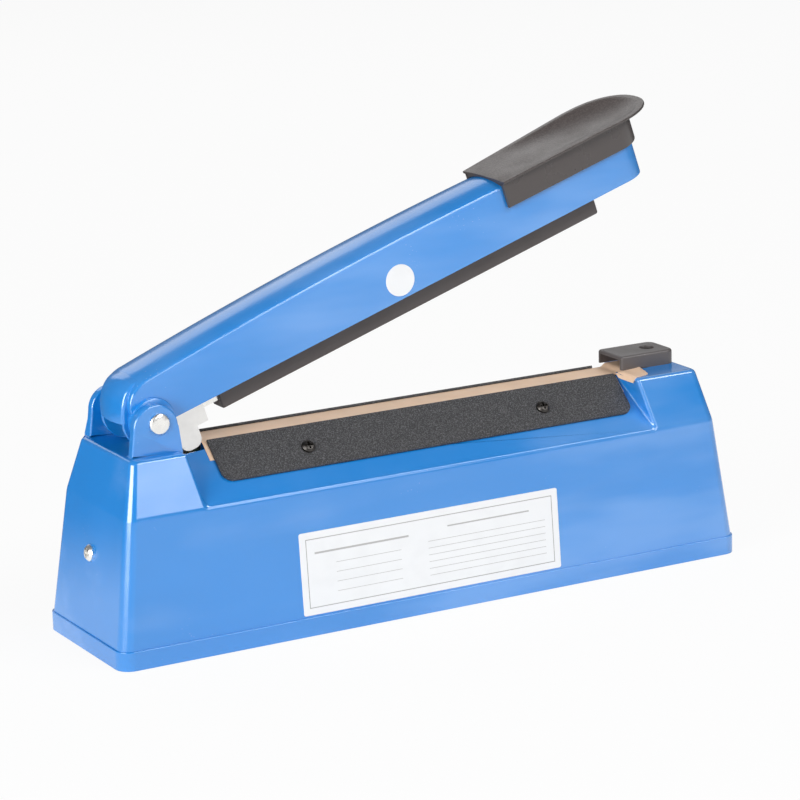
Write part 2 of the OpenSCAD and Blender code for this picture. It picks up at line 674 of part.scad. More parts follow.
// Steps in from the grip's outline, each with its share of the rim's height above the lip
rim_steps = [[0.3, -0.2], [0.9, 0.57], [2, 0.86], [3.5, 1]];
function rim_z(share) = lip_z + share * (rim_top - lip_z) - thin;
dish_r = 33;
dish_x = grip_tip - 19.5;
dish_low = rim_top - dish_depth;
trough_r = 36;
trough_drop = grip_top - dish_low - 0.4;
module grip_plan(x0, inset) {
    half = grip_half - inset;
    tip_x = grip_tip - grip_round;
    translate([x0, -half]) square([tip_x - x0, 2 * half]);
    polygon([for (a = [-90:6:90]) [tip_x + (grip_round - inset) * cos(a), half * sin(a)]]);
}
module grip_rim() hull() {
    translate([0, 0, rim_z(rim_steps[0][1])]) linear_extrude(thin) grip_plan(rim_ramp, rim_steps[0][0]);
    for (step = rim_steps) translate([0, 0, rim_z(step[1])]) linear_extrude(thin)
        grip_plan(rim_start, step[0]);
}
module grip_cap() color([0.32, 0.3, 0.3]) on_arm() difference() {
    skirt_half = arm_w / 2 + grip_fit + grip_wall;
    skirt_end = arm_l + grip_fit + grip_wall;
    union() {
        translate([0, 0, grip_low]) linear_extrude(grip_top - grip_top_t - grip_low + over) {
            translate([grip_start, -skirt_half]) square([skirt_end - arm_end_r - grip_wall - grip_start,
                2 * skirt_half]);
            translate([grip_start + arm_end_r + grip_wall, 0])
                for (side = [-1, 1]) translate([skirt_end - grip_start - 2 * (arm_end_r + grip_wall),
                    side * (skirt_half - arm_end_r - grip_wall)]) circle(arm_end_r + grip_wall);
            translate([skirt_end - arm_end_r - grip_wall - over, -skirt_half + arm_end_r + grip_wall])
                square([arm_end_r + grip_wall + over, 2 * (skirt_half - arm_end_r - grip_wall)]);
        }
        intersection() {
            translate([0, 0, grip_top - grip_top_t]) linear_extrude(grip_top_t + over)
                grip_plan(grip_start, 0);
            translate([0, 0, grip_top - grip_crown_r]) rotate([0, 90, 0])
                cylinder(r = grip_crown_r, h = 2 * arm_l, $fn = 128);
        }
        grip_rim();
    }
    arm_solid(arm_w, grip_fit, -arm_low - over);
    translate([rim_ramp, 0, grip_top + trough_r])
        rotate([0, 90 + atan(trough_drop / (dish_x - rim_ramp)), 0])
            cylinder(r = trough_r, h = dish_x - rim_ramp, $fn = 128);
    translate([dish_x, 0, dish_low + dish_r]) sphere(dish_r, $fn = 96);
}

sticker_t = 0.15;
module arm_sticker() color([0.93, 0.94, 0.96]) on_arm()
    translate([sticker_x, -arm_w / 2 - thin, (crease_top - arm_low) / 2 - 4.5]) rotate([90, 0, 0])
        cylinder(d = sticker_d, h = sticker_t);

module seal_bar() color([0.75, 0.76, 0.78]) translate([bed_x0, -seal_bar_w / 2, electrode_floor])
    cube([bed_x1 - bed_x0, seal_bar_w, seal_bar_h]);

module insulating_strip() color([0.85, 0.7, 0.5]) translate([bed_x0, -seal_bar_w / 2, ridge_z])
    cube([bed_x1 - bed_x0, seal_bar_w, strip_t]);

module heating_ribbon() color([0.7, 0.68, 0.65]) difference() {
    union() {
        translate([left_electrode_x, -ribbon_w / 2, ribbon_z])
            cube([right_electrode_x - left_electrode_x, ribbon_w, ribbon_t]);
        for (x = [left_electrode_x, right_electrode_x]) translate([x, 0, ribbon_z])
            centred_box([electrode_l - over, electrode_w - 2, ribbon_t], 0);
    }
    for (x = [left_electrode_x, right_electrode_x]) translate([x, 0, ribbon_z - over])
        cylinder(r = small_screw[2] + screw_clear, h = 3 * over);
}

// Coated cloth: over the ridge and down both slopes, with a tail that climbs into the cap and a loose flap
cloth_flat = ridge_y - 1;
cloth_flank = right_wall_top - 0.5;
flap_z = tower_z + seat;
flap_x = right_wall_top + 1;
tail_x0 = cap_x0 - 0.4;
tail_x1 = cap_x0 + 3;
module cloth_section(down) polygon([
    roof_point(down, seat), roof_point(0, seat), [-cloth_flat, cloth_z], [0, cloth_z], [0, bed_top],
    [-cloth_flat, bed_top], roof_point(0, seat + cloth_t), roof_point(down, seat + cloth_t)]);
module along_bed(x0, x1) translate([x0, 0, 0]) rotate([90, 0, 90]) linear_extrude(x1 - x0) children();
module ptfe_cloth() color([0.82, 0.67, 0.52]) {
    for (side = [0, 1]) mirror([0, side, 0])
        along_bed(bed_x0 - over / 2, cloth_flank) cloth_section(cloth_down);
    translate([0, cloth_flat, 0]) rotate([90, 0, 0]) linear_extrude(2 * cloth_flat) polygon([
        [cloth_flank - over, cloth_z], [tail_x0, cloth_z], [tail_x1, flap_z], [flap_end, flap_z],
        [flap_end, flap_z + cloth_t], [tail_x1, flap_z + cloth_t], [tail_x0, bed_top],
        [cloth_flank - over, bed_top]]);
    translate([0, 0, flap_z]) linear_extrude(cloth_t) polygon([[tail_x1, over - cloth_flat],
        [flap_end, over - cloth_flat], [flap_end - 2, 3 - tower_w / 2], [flap_x + 1, 2 - tower_w / 2],
        [flap_x, -ridge_y - 0.5]]);
}

// A clamp plate lies on one slope, with round lower corners and two screw holes
module clamp_plate() difference() {
    on_roof(plate_x, plate_w / 2 - plate_over) translate([0, 0, plate_lift]) linear_extrude(plate_t) {
        translate([0, plate_r / 2]) square([plate_l, plate_w - plate_r], center = true);
        square([plate_l - 2 * plate_r, plate_w], center = true);
        for (side = [-1, 1]) translate([side * (plate_l / 2 - plate_r), plate_r - plate_w / 2])
            circle(plate_r);
    }
    for (x = plate_screw_xs) on_roof(x, plate_screw_d)
        cylinder(r = plate_screw[2] + screw_clear, h = 8 * plate_t, center = true);
}
module front_clamp_plate() color([0.2, 0.2, 0.21]) clamp_plate();
module rear_clamp_plate() color([0.2, 0.2, 0.21]) mirror([0, 1, 0]) clamp_plate();

module plate_screws() color([0.25, 0.25, 0.25]) for (side = [0, 1], x = plate_screw_xs)
    mirror([0, side, 0]) on_roof(x, plate_screw_d) translate([0, 0, plate_lift + plate_t])
        pan_screw(plate_screw, plate_screw_l);

// Cap: a hood over the cloth's tail, open towards the bed, with a sunk screw
cap_boss_r = 4.8;
cap_head_z = tower_z + 2.2;
module cap_plan(margin) {
    r = cap_r - margin;
    half = cap_w / 2 - margin;
    x1 = cap_x1 - margin;
    translate([cap_x0, -half]) square([x1 - r - cap_x0, 2 * half]);
    translate([x1 - r - thin, -half + r]) square([r + thin, 2 * (half - r)]);
    for (side = [-1, 1]) translate([x1 - r, side * (half - r)]) circle(r);
}
module end_cap() color([0.3, 0.29, 0.29]) difference() {
    translate([0, 0, tower_z]) linear_extrude(cap_h) cap_plan(0);
    difference() {
        translate([-over, 0, tower_z - over]) linear_extrude(cap_h - cap_wall + over) cap_plan(cap_wall);
        translate([cap_screw_x, 0, tower_z]) cylinder(r = cap_boss_r, h = cap_h);
    }
    translate([cap_x0 - over, -cap_w, tower_z - over])
        cube([flap_end + over - cap_x0 + over, 2 * cap_w, over + 2 * seat + cloth_t]);
    translate([cap_screw_x, 0, cap_head_z]) cylinder(d = cap_hole_d, h = cap_h);
    translate([cap_screw_x, 0, tower_z - over]) cylinder(r = plate_screw[2] + screw_clear, h = cap_h);
}

module cap_screw() color([0.3, 0.3, 0.3])
    translate([cap_screw_x, 0, cap_head_z]) pan_screw(plate_screw, cap_head_z - tower_z + 8);

// Brass electrodes that clamp the ribbon's ends
module electrode(x, l, z0) translate([x, 0, 0]) difference() {
    centred_box([l, electrode_w, ribbon_z - z0], z0);
    translate([0, 0, z0 - over]) cylinder(r = small_screw[2] + screw_clear, h = tower_z);
}
module left_electrode() color([0.78, 0.62, 0.3]) electrode(left_electrode_x, electrode_l, pocket_floor);
module right_electrode() color([0.78, 0.62, 0.3])
    electrode(right_electrode_x, right_electrode_l, electrode_floor);
module electrode_screws() color([0.8, 0.8, 0.8]) for (x = [left_electrode_x, right_electrode_x])
    translate([x, 0, ribbon_z + ribbon_t])
        pan_screw([small_screw[0], 1.1, small_screw[2]], electrode_screw_l);

// Transformer: laminated core, bobbin and winding, strapped to the base plate
leg = core_l / 6;
window_z0 = base_top + leg;
window_h = core_h - 2 * leg;
winding_t = 10;
bobbin_wall = 1;
core_gap = 0.1;
module at_core() translate([core_x, 0, 0]) children();
module transformer_core() color([0.35, 0.36, 0.38]) at_core() difference() {
    centred_box([core_l, core_w, core_h], base_top);
    for (side = [-1, 1]) translate([side * 1.5 * leg, 0, 0])
        centred_box([leg, core_w + 2 * over, window_h], window_z0);
}
module coil_bobbin() color([0.9, 0.88, 0.8]) at_core() difference() {
    union() {
        centred_box([2 * leg + 2 * (bobbin_wall + core_gap), core_w + 2 * (bobbin_wall + core_gap),
            window_h - 2 * core_gap], window_z0 + core_gap);
        for (z = [window_z0 + core_gap, window_z0 + window_h - core_gap - bobbin_wall])
            centred_box([4 * leg - 2 * core_gap, core_w + 2 * winding_t, bobbin_wall], z);
    }
    centred_box([2 * leg + 2 * core_gap, core_w + 2 * core_gap, core_h], base_top);
}
module transformer_winding() color([0.72, 0.45, 0.2]) at_core() difference() {
    z0 = window_z0 + core_gap + bobbin_wall + core_gap;
    h = window_h - 4 * core_gap - 2 * bobbin_wall;
    centred_box([4 * leg - 6 * core_gap, core_w + 2 * winding_t - 4 * core_gap, h], z0);
    centred_box([2 * leg + 2 * (bobbin_wall + 2 * core_gap), core_w + 2 * (bobbin_wall + 2 * core_gap),
        h + 2 * over], z0 - over);
}
strap_w = 14;
strap_t = 1;
strap_foot = 10;
strap_half = core_l / 2 + core_gap;
strap_screw_xs = [for (side = [-1, 1]) core_x + side * (strap_half + strap_t + strap_foot / 2)];
module transformer_strap() color([0.7, 0.72, 0.74]) difference() {
    at_core() {
        centred_box([2 * (strap_half + strap_t), strap_w, strap_t], base_top + core_h + core_gap);
        for (side = [-1, 1]) {
            translate([side * (strap_half + strap_t / 2), 0, 0])
                centred_box([strap_t, strap_w, core_h + core_gap + strap_t], base_top);
            translate([side * (strap_half + strap_t / 2 + strap_foot / 2), 0, 0])
                centred_box([strap_foot + strap_t, strap_w, strap_t], base_top);
        }
    }
    for (x = strap_screw_xs) translate([x, 0, -over])
        cylinder(r = plate_screw[2] + screw_clear, h = base_top + strap_t + 2 * over);
}
module strap_screws() color([0.75, 0.75, 0.75]) for (x = strap_screw_xs)
    translate([x, 0, base_top + strap_t]) pan_screw(plate_screw, strap_t + base_t + 0.8);

// Leads from the transformer to the electrodes, rounded off at each corner of their way
lead_r = 1.4;
lead_y = core_w / 2 + winding_t + lead_r + free;
lead_low = base_top + core_h * 0.6;
lead_high = knee_z - 4;
function round_off(p, n) = concat([p[0]],
    [for (i = [1:len(p) - 2]) let (a = (p[i - 1] + p[i]) / 2, b = (p[i] + p[i + 1]) / 2)
        for (k = [0:i == len(p) - 2 ? n : n - 1]) let (u = k / n)
            (1 - u) * (1 - u) * a + 2 * u * (1 - u) * p[i] + u * u * b],
    [p[len(p) - 1]]);
module lead(points) tube(round_off(points, 4), lead_r, 8);
module left_lead() color([0.7, 0.15, 0.15]) lead([
    [core_x - 8, lead_y, lead_low], [core_x - 8, lead_y, lead_high],
    [core_x - 34, 8, knee_z + 3], [left_electrode_x + 5, 0, switch_top - lead_r - 1]]);
module right_lead() color([0.7, 0.15, 0.15]) lead([
    [core_x + 8, lead_y, lead_low], [core_x + 8, lead_y, lead_high], [core_x + 60, 6, knee_z + 5],
    [right_electrode_x - 16, 0, knee_z + 6],
    [right_electrode_x - 3.5, 0, electrode_floor - wall - lead_r - 1]]);

// Timer board behind the rear wall, on two posts, with its potentiometer through the wall
board_depth = 14;
board_t = 1.6;
board_post_r = 3;
board_post_xs = [-22, 36];
board_x0 = -28;
board_x1 = 44;
board_up = 18;
board_low = 16;
bush_r = 3.5;
shaft_r = 3;
module on_timer() on_rear_wall(knob_x, control_z) children();
module circuit_board() color([0.1, 0.35, 0.2]) on_timer() difference() {
    translate([board_x0, -board_up, -board_depth - board_t])
        cube([board_x1 - board_x0, board_up + board_low, board_t]);
    for (x = board_post_xs) translate([x, 0, -board_depth - 2 * board_t])
        cylinder(r = small_screw[2] + screw_clear, h = 3 * board_t);
}
module board_screws() color([0.75, 0.75, 0.75]) on_timer() for (x = board_post_xs)
    translate([x, 0, -board_depth - board_t]) mirror([0, 0, 1]) pan_screw(small_screw, board_t + 5);
relay = [19, 15.5, 15];
module timer_relay() color([0.15, 0.2, 0.3]) on_timer()
    translate([10, -14, -board_depth - board_t - relay[2]]) cube(relay);
module timer_capacitors() color([0.2, 0.25, 0.5]) on_timer() for (x = [-15, -2])
    translate([x, 8, -board_depth - board_t - 16]) cylinder(r = 5, h = 16);
module timer_potentiometer() color([0.45, 0.45, 0.48]) on_timer() difference() {
    union() {
        translate([0, 0, -board_depth]) cylinder(d = 16, h = board_depth - wall);
        translate([0, 0, -wall - thin]) cylinder(r = bush_r, h = wall + dial_t + 2);
        translate([0, 0, dial_t]) cylinder(r = 5.5, h = 2, $fn = 6);
    }
    translate([0, 0, -board_depth + 3]) cylinder(r = shaft_r + pin_clear, h = board_depth + knob_h);
}
dial_t = 0.6;
knob_seat = dial_t + 2 + free;
module timer_shaft() color([0.8, 0.8, 0.8]) on_timer()
    translate([0, 0, -board_depth + 3 + free])
        cylinder(r = shaft_r, h = board_depth - 3 - free + knob_h - 1);

// Knob: a fluted cap over the nut, with a raised pointer
flutes = 18;
flute_r = 1.1;
knob_bore = shaft_r + screw_clear;
module timer_knob() color([0.1, 0.1, 0.1]) on_timer() difference() {
    union() {
        translate([0, 0, dial_t + free]) cylinder(d = knob_d, h = knob_h - dial_t - free);
        translate([-0.6, -knob_d / 2 + 1, knob_h - thin]) cube([1.2, knob_d / 2 - 2, 0.5]);
    }
    for (i = [0:flutes - 1]) rotate([0, 0, 360 * i / flutes]) translate([knob_d / 2 + 0.5, 0, dial_t])
        cylinder(r = flute_r, h = knob_h - 2);
    translate([0, 0, -over]) cylinder(r = 7, h = knob_seat + over);
    translate([0, 0, -over]) cylinder(r = knob_bore, h = knob_h);
}
module dial_plate() color([0.9, 0.9, 0.88]) on_timer() difference() {
    translate([0, 0, thin]) cylinder(d = dial_d, h = dial_t - thin);
    translate([0, 0, -over]) cylinder(r = bush_r + screw_clear, h = dial_t + 2 * over);
}

// Pilot lamp: a plain bezel with a domed lens
lamp_body_r = lamp_d / 2 + 0.8;
bezel_r = lamp_body_r + 1.6;
bezel_t = 1.4;
module on_lamp() on_rear_wall(lamp_x, control_z) children();
module lamp_bezel() color([0.15, 0.15, 0.15]) on_lamp() difference() {
    union() {
        cylinder(r = bezel_r, h = bezel_t);
        translate([0, 0, -8]) cylinder(r = lamp_body_r, h = 8 + thin);
    }
    translate([0, 0, -9]) cylinder(d = lamp_d + 2 * seat, h = 12);
}
module lamp_lens() color([0.85, 0.1, 0.08]) on_lamp() {
    translate([0, 0, -8]) cylinder(d = lamp_d, h = 8 + bezel_t);
    translate([0, 0, bezel_t]) intersection() {
        sphere(d = lamp_d);
        cylinder(d = lamp_d, h = lamp_d);
    }
}

// Cord inlet: a flanged gland through the rear wall and its nut inside
gland_r = inlet_d / 2 + 2.4;
gland_flange = 2.5;
gland_nose = 3.5;
gland_in = 8;
nut_t = 3.5;
module on_inlet() on_rear_wall(inlet_x, inlet_z) children();
module cord_gland() color([0.12, 0.12, 0.12]) on_inlet() difference() {
    union() {
        translate([0, 0, -gland_in]) cylinder(r = gland_r, h = gland_in + gland_flange);
        cylinder(r = gland_r + 2.5, h = gland_flange);
        translate([0, 0, gland_flange - thin]) cylinder(r = gland_r - 0.6, h = gland_nose);
    }
    translate([0, 0, -gland_in - over])
        cylinder(d = inlet_d, h = gland_in + gland_flange + gland_nose + 2 * over);
}
module gland_nut() color([0.12, 0.12, 0.12]) on_inlet() difference() {
    translate([0, 0, -wall - nut_t - seat]) cylinder(r = gland_r + 3, h = nut_t, $fn = 6);
    translate([0, 0, -gland_in - over]) cylinder(r = gland_r + screw_clear, h = gland_in + over);
}

// Micro switch under the pocket's floor, with the plunger that the frame's ear presses
switch_l = 20;
switch_w = 6.4;
switch_h = 12;
module micro_switch() color([0.15, 0.15, 0.16]) difference() {
    translate([plunger_x - 6, plunger_y - switch_w / 2, switch_top - switch_h])
        cube([switch_l, switch_w, switch_h]);
    translate([plunger_x, plunger_y, switch_top - 4]) cylinder(d = plunger_d + 2 * pin_clear, h = 5);
}
module switch_plunger() color([0.85, 0.15, 0.12]) translate([plunger_x, plunger_y, switch_top - 2.6])
    cylinder(d = plunger_d, h = 2.6 + plunger_h);

label_t = 0.15;
module front_label() color([0.93, 0.94, 0.96]) on_front_wall(label_x, label_z)
    linear_extrude(label_t) rounded_rect(label_l, label_h, 1);

body_shell();
base_plate();
rubber_feet();
end_screws();
hinge_pin();
pin_clip();
return_spring();
press_arm();
arm_frame();
frame_screws();
bar_bolts();
bar_spacers();
press_bar();
press_rubber();
grip_cap();
arm_sticker();
seal_bar();
insulating_strip();
heating_ribbon();
ptfe_cloth();
front_clamp_plate();
rear_clamp_plate();
plate_screws();
end_cap();
cap_screw();
left_electrode();
right_electrode();
electrode_screws();
left_lead();
right_lead();
transformer_core();
coil_bobbin();
transformer_winding();
transformer_strap();
strap_screws();
circuit_board();
board_screws();
timer_relay();
timer_capacitors();
timer_potentiometer();
timer_shaft();
timer_knob();
dial_plate();
lamp_bezel();
lamp_lens();
cord_gland();
gland_nut();
micro_switch();
switch_plunger();
front_label();
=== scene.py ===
"""Looks of the hand impulse sealer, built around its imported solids.

Lengths in the tables below are millimetres; Blender's are metres. Pieces of the arm are made in
the arm's own frame, x along the closed arm from the hinge axis, and then turned up by the open
angle.
"""
import json
import math

import bmesh
import bpy
from mathutils import Matrix, Vector


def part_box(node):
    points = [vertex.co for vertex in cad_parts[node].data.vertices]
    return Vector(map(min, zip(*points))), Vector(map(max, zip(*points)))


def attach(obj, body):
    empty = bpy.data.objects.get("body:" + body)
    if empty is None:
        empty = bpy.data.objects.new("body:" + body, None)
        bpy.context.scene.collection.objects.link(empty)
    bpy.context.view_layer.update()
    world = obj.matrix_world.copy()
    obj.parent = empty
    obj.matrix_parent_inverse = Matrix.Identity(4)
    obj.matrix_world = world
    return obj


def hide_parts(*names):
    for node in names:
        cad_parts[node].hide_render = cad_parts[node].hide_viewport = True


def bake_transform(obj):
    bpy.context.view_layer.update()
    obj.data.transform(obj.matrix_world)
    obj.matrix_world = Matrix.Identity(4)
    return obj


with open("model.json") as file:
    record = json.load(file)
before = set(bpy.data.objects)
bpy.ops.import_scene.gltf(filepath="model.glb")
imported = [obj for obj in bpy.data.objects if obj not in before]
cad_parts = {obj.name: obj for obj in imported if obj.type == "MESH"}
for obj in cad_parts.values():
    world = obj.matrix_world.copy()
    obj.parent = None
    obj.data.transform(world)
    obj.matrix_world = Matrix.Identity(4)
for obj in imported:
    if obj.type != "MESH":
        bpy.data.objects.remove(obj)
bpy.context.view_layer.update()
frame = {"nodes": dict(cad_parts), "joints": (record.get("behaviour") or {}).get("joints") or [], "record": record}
nodes = frame["nodes"]
joints = {joint["name"]: joint for joint in frame["joints"]}
slots = {part["node"]: part["material_slot"] for part in frame["record"]["subparts"]}
MM = 0.001

# Camera, found from the photograph's own edges
CAMERA_AT = Vector((-0.6815, -1.2278, 0.4394))
CAMERA_LOOK = Vector((0.4713, 0.8476, -0.2437))
CAMERA_RIGHT = Vector((0.8706, -0.4914, -0.0255))
CAMERA_LENS = 148.2
CAMERA_SENSOR = 36

# The hinge, and the turn from the closed arm's frame to the open arm
HINGE = Vector(joints["arm_hinge"]["pos_m"])
OPEN = math.radians(joints["arm_hinge"]["range_deg"][1])
TO_ARM = Matrix.Translation(HINGE) @ Matrix.Rotation(-OPEN, 4, "Y")


def smooth_step(low, high, value):
    t = max(0.0, min(1.0, (value - low) / (high - low)))
    return t * t * (3 - 2 * t)


def lerp(a, b, t):
    return a + (b - a) * t


# Materials


class Surface:
    """A Principled material with a few shorthand ways to add nodes."""

    def __init__(self, name, colour, roughness, metallic=0.0, **sockets):
        self.material = bpy.data.materials.new(name)
        self.material.use_nodes = True
        self.tree = self.material.node_tree
        self.shader = self.tree.nodes["Principled BSDF"]
        self.colour = colour
        self.set("Base Color", (*colour, 1))
        self.set("Roughness", roughness)
        self.set("Metallic", metallic)
        for socket, value in sockets.items():
            self.set(socket.replace("_", " "), value)
        self.place = self.node("ShaderNodeTexCoord").outputs["Object"]
        self.height = None

    def set(self, socket, value):
        self.shader.inputs[socket].default_value = value

    def node(self, kind, inputs=(), **settings):
        made = self.tree.nodes.new(kind)
        for key, value in settings.items():
            setattr(made, key, value)
        for key, value in dict(inputs).items():
            self.feed(made.inputs[key], value)
        return made

    def feed(self, socket, value):
        if isinstance(value, bpy.types.NodeSocket):
            self.tree.links.new(value, socket)
        else:
            socket.default_value = value

    def math(self, operation, *values):
        return self.node("ShaderNodeMath", dict(enumerate(values)), operation=operation).outputs[0]

    def dot(self, vector, direction):
        found = self.node("ShaderNodeVectorMath", {0: vector, 1: direction},
                          operation="DOT_PRODUCT")
        return found.outputs["Value"]

    def scaled(self, by):
        """The place on the surface, with each axis scaled."""
        return self.node("ShaderNodeVectorMath", {0: self.place, 1: by},
                         operation="MULTIPLY").outputs[0]

    def parts(self, vector):
        return self.node("ShaderNodeSeparateXYZ", {0: vector}).outputs

    def offset(self, axis, middle):
        """Distance from the middle along an axis, in millimetres."""
        return self.math("SUBTRACT", self.math("DIVIDE", self.parts(self.place)[axis], MM), middle)

    def noise(self, scale, detail, stretch=None, **inputs):
        place = self.scaled(stretch) if stretch else self.place
        found = self.node("ShaderNodeTexNoise", {"Vector": place, "Scale": scale, "Detail": detail,
                                                 **inputs})
        return found.outputs["Fac"]

    def between(self, value, low, high, to_low=0.0, to_high=1.0):
        mapped = self.node("ShaderNodeMapRange", {"Value": value, "From Min": low, "From Max": high,
                                                  "To Min": to_low, "To Max": to_high})
        mapped.interpolation_type = "SMOOTHSTEP"
        return mapped.outputs["Result"]

    def tint(self, share, colour):
        """Mixes another colour in where share is 1."""
        base = self.shader.inputs["Base Color"]
        under = base.links[0].from_socket if base.links else tuple(base.default_value)
        mix = self.node("ShaderNodeMix", data_type="RGBA")
        self.feed(mix.inputs[0], share)
        self.feed(mix.inputs[6], under)
        self.feed(mix.inputs[7], (*colour, 1))
        self.tree.links.new(mix.outputs[2], base)

    def shade(self, share, factor):
        """Mixes the surface's own colour in, lighter or darker by a factor."""
        self.tint(share, tuple(min(1.0, c * factor) for c in self.colour))

    def rough(self, value, low, high):
        self.feed(self.shader.inputs["Roughness"], self.between(value, *NOISE_BULK, low, high))

    def bump(self, value, distance, strength=1.0):
        """Adds a layer of relief, distance in millimetres."""
        bump = self.node("ShaderNodeBump", {"Height": value, "Distance": distance * MM,
                                            "Strength": strength})
        if self.height:
            self.tree.links.new(self.height, bump.inputs["Normal"])
        self.height = bump.outputs["Normal"]
        self.feed(self.shader.inputs["Normal"], self.height)


# Most of a noise lies between these
NOISE_BULK = (0.3, 0.7)
# Flow marks of a moulding, and the slow change of its gloss
FLOW = {"scale": 22, "detail": 2, "stretch": (0.35, 1, 1)}
FLOW_RELIEF = {"distance": 0.05, "strength": 0.3}
GLOSS_CLOUD = {"scale": 60, "detail": 4}


def moulded_plastic(name, colour, roughness, grain, grain_depth, **sockets):
    """Injection-moulded plastic: faint flow marks, fine grain and a few rubbed places."""
    made = Surface(name, colour, roughness, **sockets)
    flow = made.noise(**FLOW)
    made.shade(made.between(flow, 0.35, 0.7, to_high=0.35), factor=1.16)
    made.rough(made.noise(**GLOSS_CLOUD), low=roughness * 0.86, high=roughness * 1.18)
    made.bump(flow, **FLOW_RELIEF)
    made.bump(made.noise(grain, detail=4), grain_depth)
    return made


def metal(name, colour, roughness, brushed=(1, 1, 1)):
    made = Surface(name, colour, roughness, metallic=1.0)
    lines = made.noise(scale=700, detail=3, stretch=brushed)
    made.rough(lines, low=roughness * 0.8, high=roughness * 1.3)
    made.shade(made.between(made.noise(scale=90, detail=3), 0.4, 0.75, to_high=0.5), factor=0.86)
    made.bump(lines, distance=0.003, strength=0.6)
    return made


def scuffed(made, colour):
    """Adds small pale nicks, as on a used moulding."""
    speck = made.node("ShaderNodeTexVoronoi", {"Vector": made.scaled((1, 1, 2.2)), "Scale": 420.0})
    nick = made.between(speck.outputs["Distance"], 0.06, 0.108, to_low=1, to_high=0)
    patch = made.between(made.noise(scale=34, detail=2), 0.62, 0.7)
    made.tint(made.math("MULTIPLY", made.math("MULTIPLY", nick, patch), 0.6), colour)


def painted_sheen_streaks(made, colour, amount):
    """Adds pale cloudy streaks along the moulding: painted sheen, standing in for the wavy reflections of the
    glossy surface.
    """
    streak = made.noise(scale=26, detail=3, stretch=(0.3, 1, 1.4))
    cloud = made.math("MULTIPLY", streak, made.noise(scale=7, detail=2))
    made.tint(made.between(cloud, 0.2, 0.38, to_high=amount), colour)


def grained_grip(name, colour):
    """Dark plastic with a leather-like grain on its top, smooth down its sides."""
    made = Surface(name, colour, 0.3, IOR=1.6)
    normal = made.node("ShaderNodeTexCoord").outputs["Normal"]
    facing = made.dot(normal, (-math.sin(OPEN), 0, math.cos(OPEN)))
    top = made.between(facing, 0.78, 0.93)
    grain = made.math("MULTIPLY", made.noise(scale=1300, detail=3), top)
    made.shade(made.between(grain, 0.42, 0.62, to_high=0.8), factor=1.9)
    sides = made.between(made.noise(**GLOSS_CLOUD), *NOISE_BULK, to_low=0.24, to_high=0.34)
    made.feed(made.shader.inputs["Roughness"],
              made.math("ADD", sides, made.math("MULTIPLY", top, 0.08)))
    made.bump(made.noise(**FLOW), **FLOW_RELIEF)
    made.bump(grain, distance=0.09)
    return made


def wrinkle_coat(name, colour, crest_highlight_colour):
    """Black wrinkle paint: worm-like ridges under a millimetre apart, with shinier crests that are also painted
    lighter, a painted highlight.
    """
    made = Surface(name, colour, 0.42)
    ridges = made.noise(scale=2300.0, detail=2.0, Distortion=0.6)
    # The crests are painted lighter: a painted highlight on the ridges
    made.tint(made.math("MULTIPLY", made.between(ridges, 0.5, 0.62), 0.75), crest_highlight_colour)
    made.rough(ridges, low=0.5, high=0.34)
    made.bump(ridges, distance=0.4)
    made.bump(made.noise(scale=2400, detail=2), distance=0.03)
    return made


WEAVE_PITCH = 0.7


def coated_cloth(name, colour):
    """Tan coated glass cloth: a plain weave under a thin, slightly mottled coat."""
    made = Surface(name, colour, 0.45, Sheen_Weight=0.05)
    place = made.parts(made.place)
    per_metre = math.tau / (WEAVE_PITCH * MM)
    across, along = (made.math("SINE", made.math("MULTIPLY", place[axis], per_metre))
                     for axis in "XY")
    weave = made.math("MULTIPLY", across, along)
    made.shade(made.between(made.noise(scale=70, detail=3), 0.35, 0.7, to_high=0.5), factor=0.84)
    made.shade(made.between(weave, -1, 1, to_high=0.16), factor=0.7)
    made.rough(made.noise(scale=220, detail=3), low=0.4, high=0.56)
    made.bump(weave, distance=0.02)
    return made


def label_film(name, prints=None):
    """White film with a faint fibre; prints adds its own marks."""
    made = Surface(name, (0.8, 0.81, 0.82), 0.34)
    made.shade(made.between(made.noise(scale=120, detail=3), 0.4, 0.75, to_high=0.4), factor=0.93)
    made.rough(made.noise(scale=300, detail=2), low=0.28, high=0.42)
    made.bump(made.noise(scale=900, detail=3), distance=0.006)
    if prints:
        prints(made)
    return made


# Front label: a thin border and plain blank rules, with no lettering
LABEL_LINE = 0.32
LABEL_INSET = 3.0
LABEL_MARGIN = 4.0
RULE_COLOUR = (0.3, 0.29, 0.28)
RULE_STRENGTH = 0.75
RULE_T = 0.2
# Rules: lowest, gap and count
LEFT_ROWS = (-9.5, 4.2, 4)
RIGHT_ROWS = (-10.5, 3.0, 6)
# Where they start and end: the left ones from the left margin, the right ones from the middle
LEFT_SPAN = (10.0, 42.0)
RIGHT_START = -2.0
# Headings: length or start, low and high
LEFT_HEADING = (46.0, 8.2, 9.0)
RIGHT_HEADING = (8.0, 9.6, 10.2)


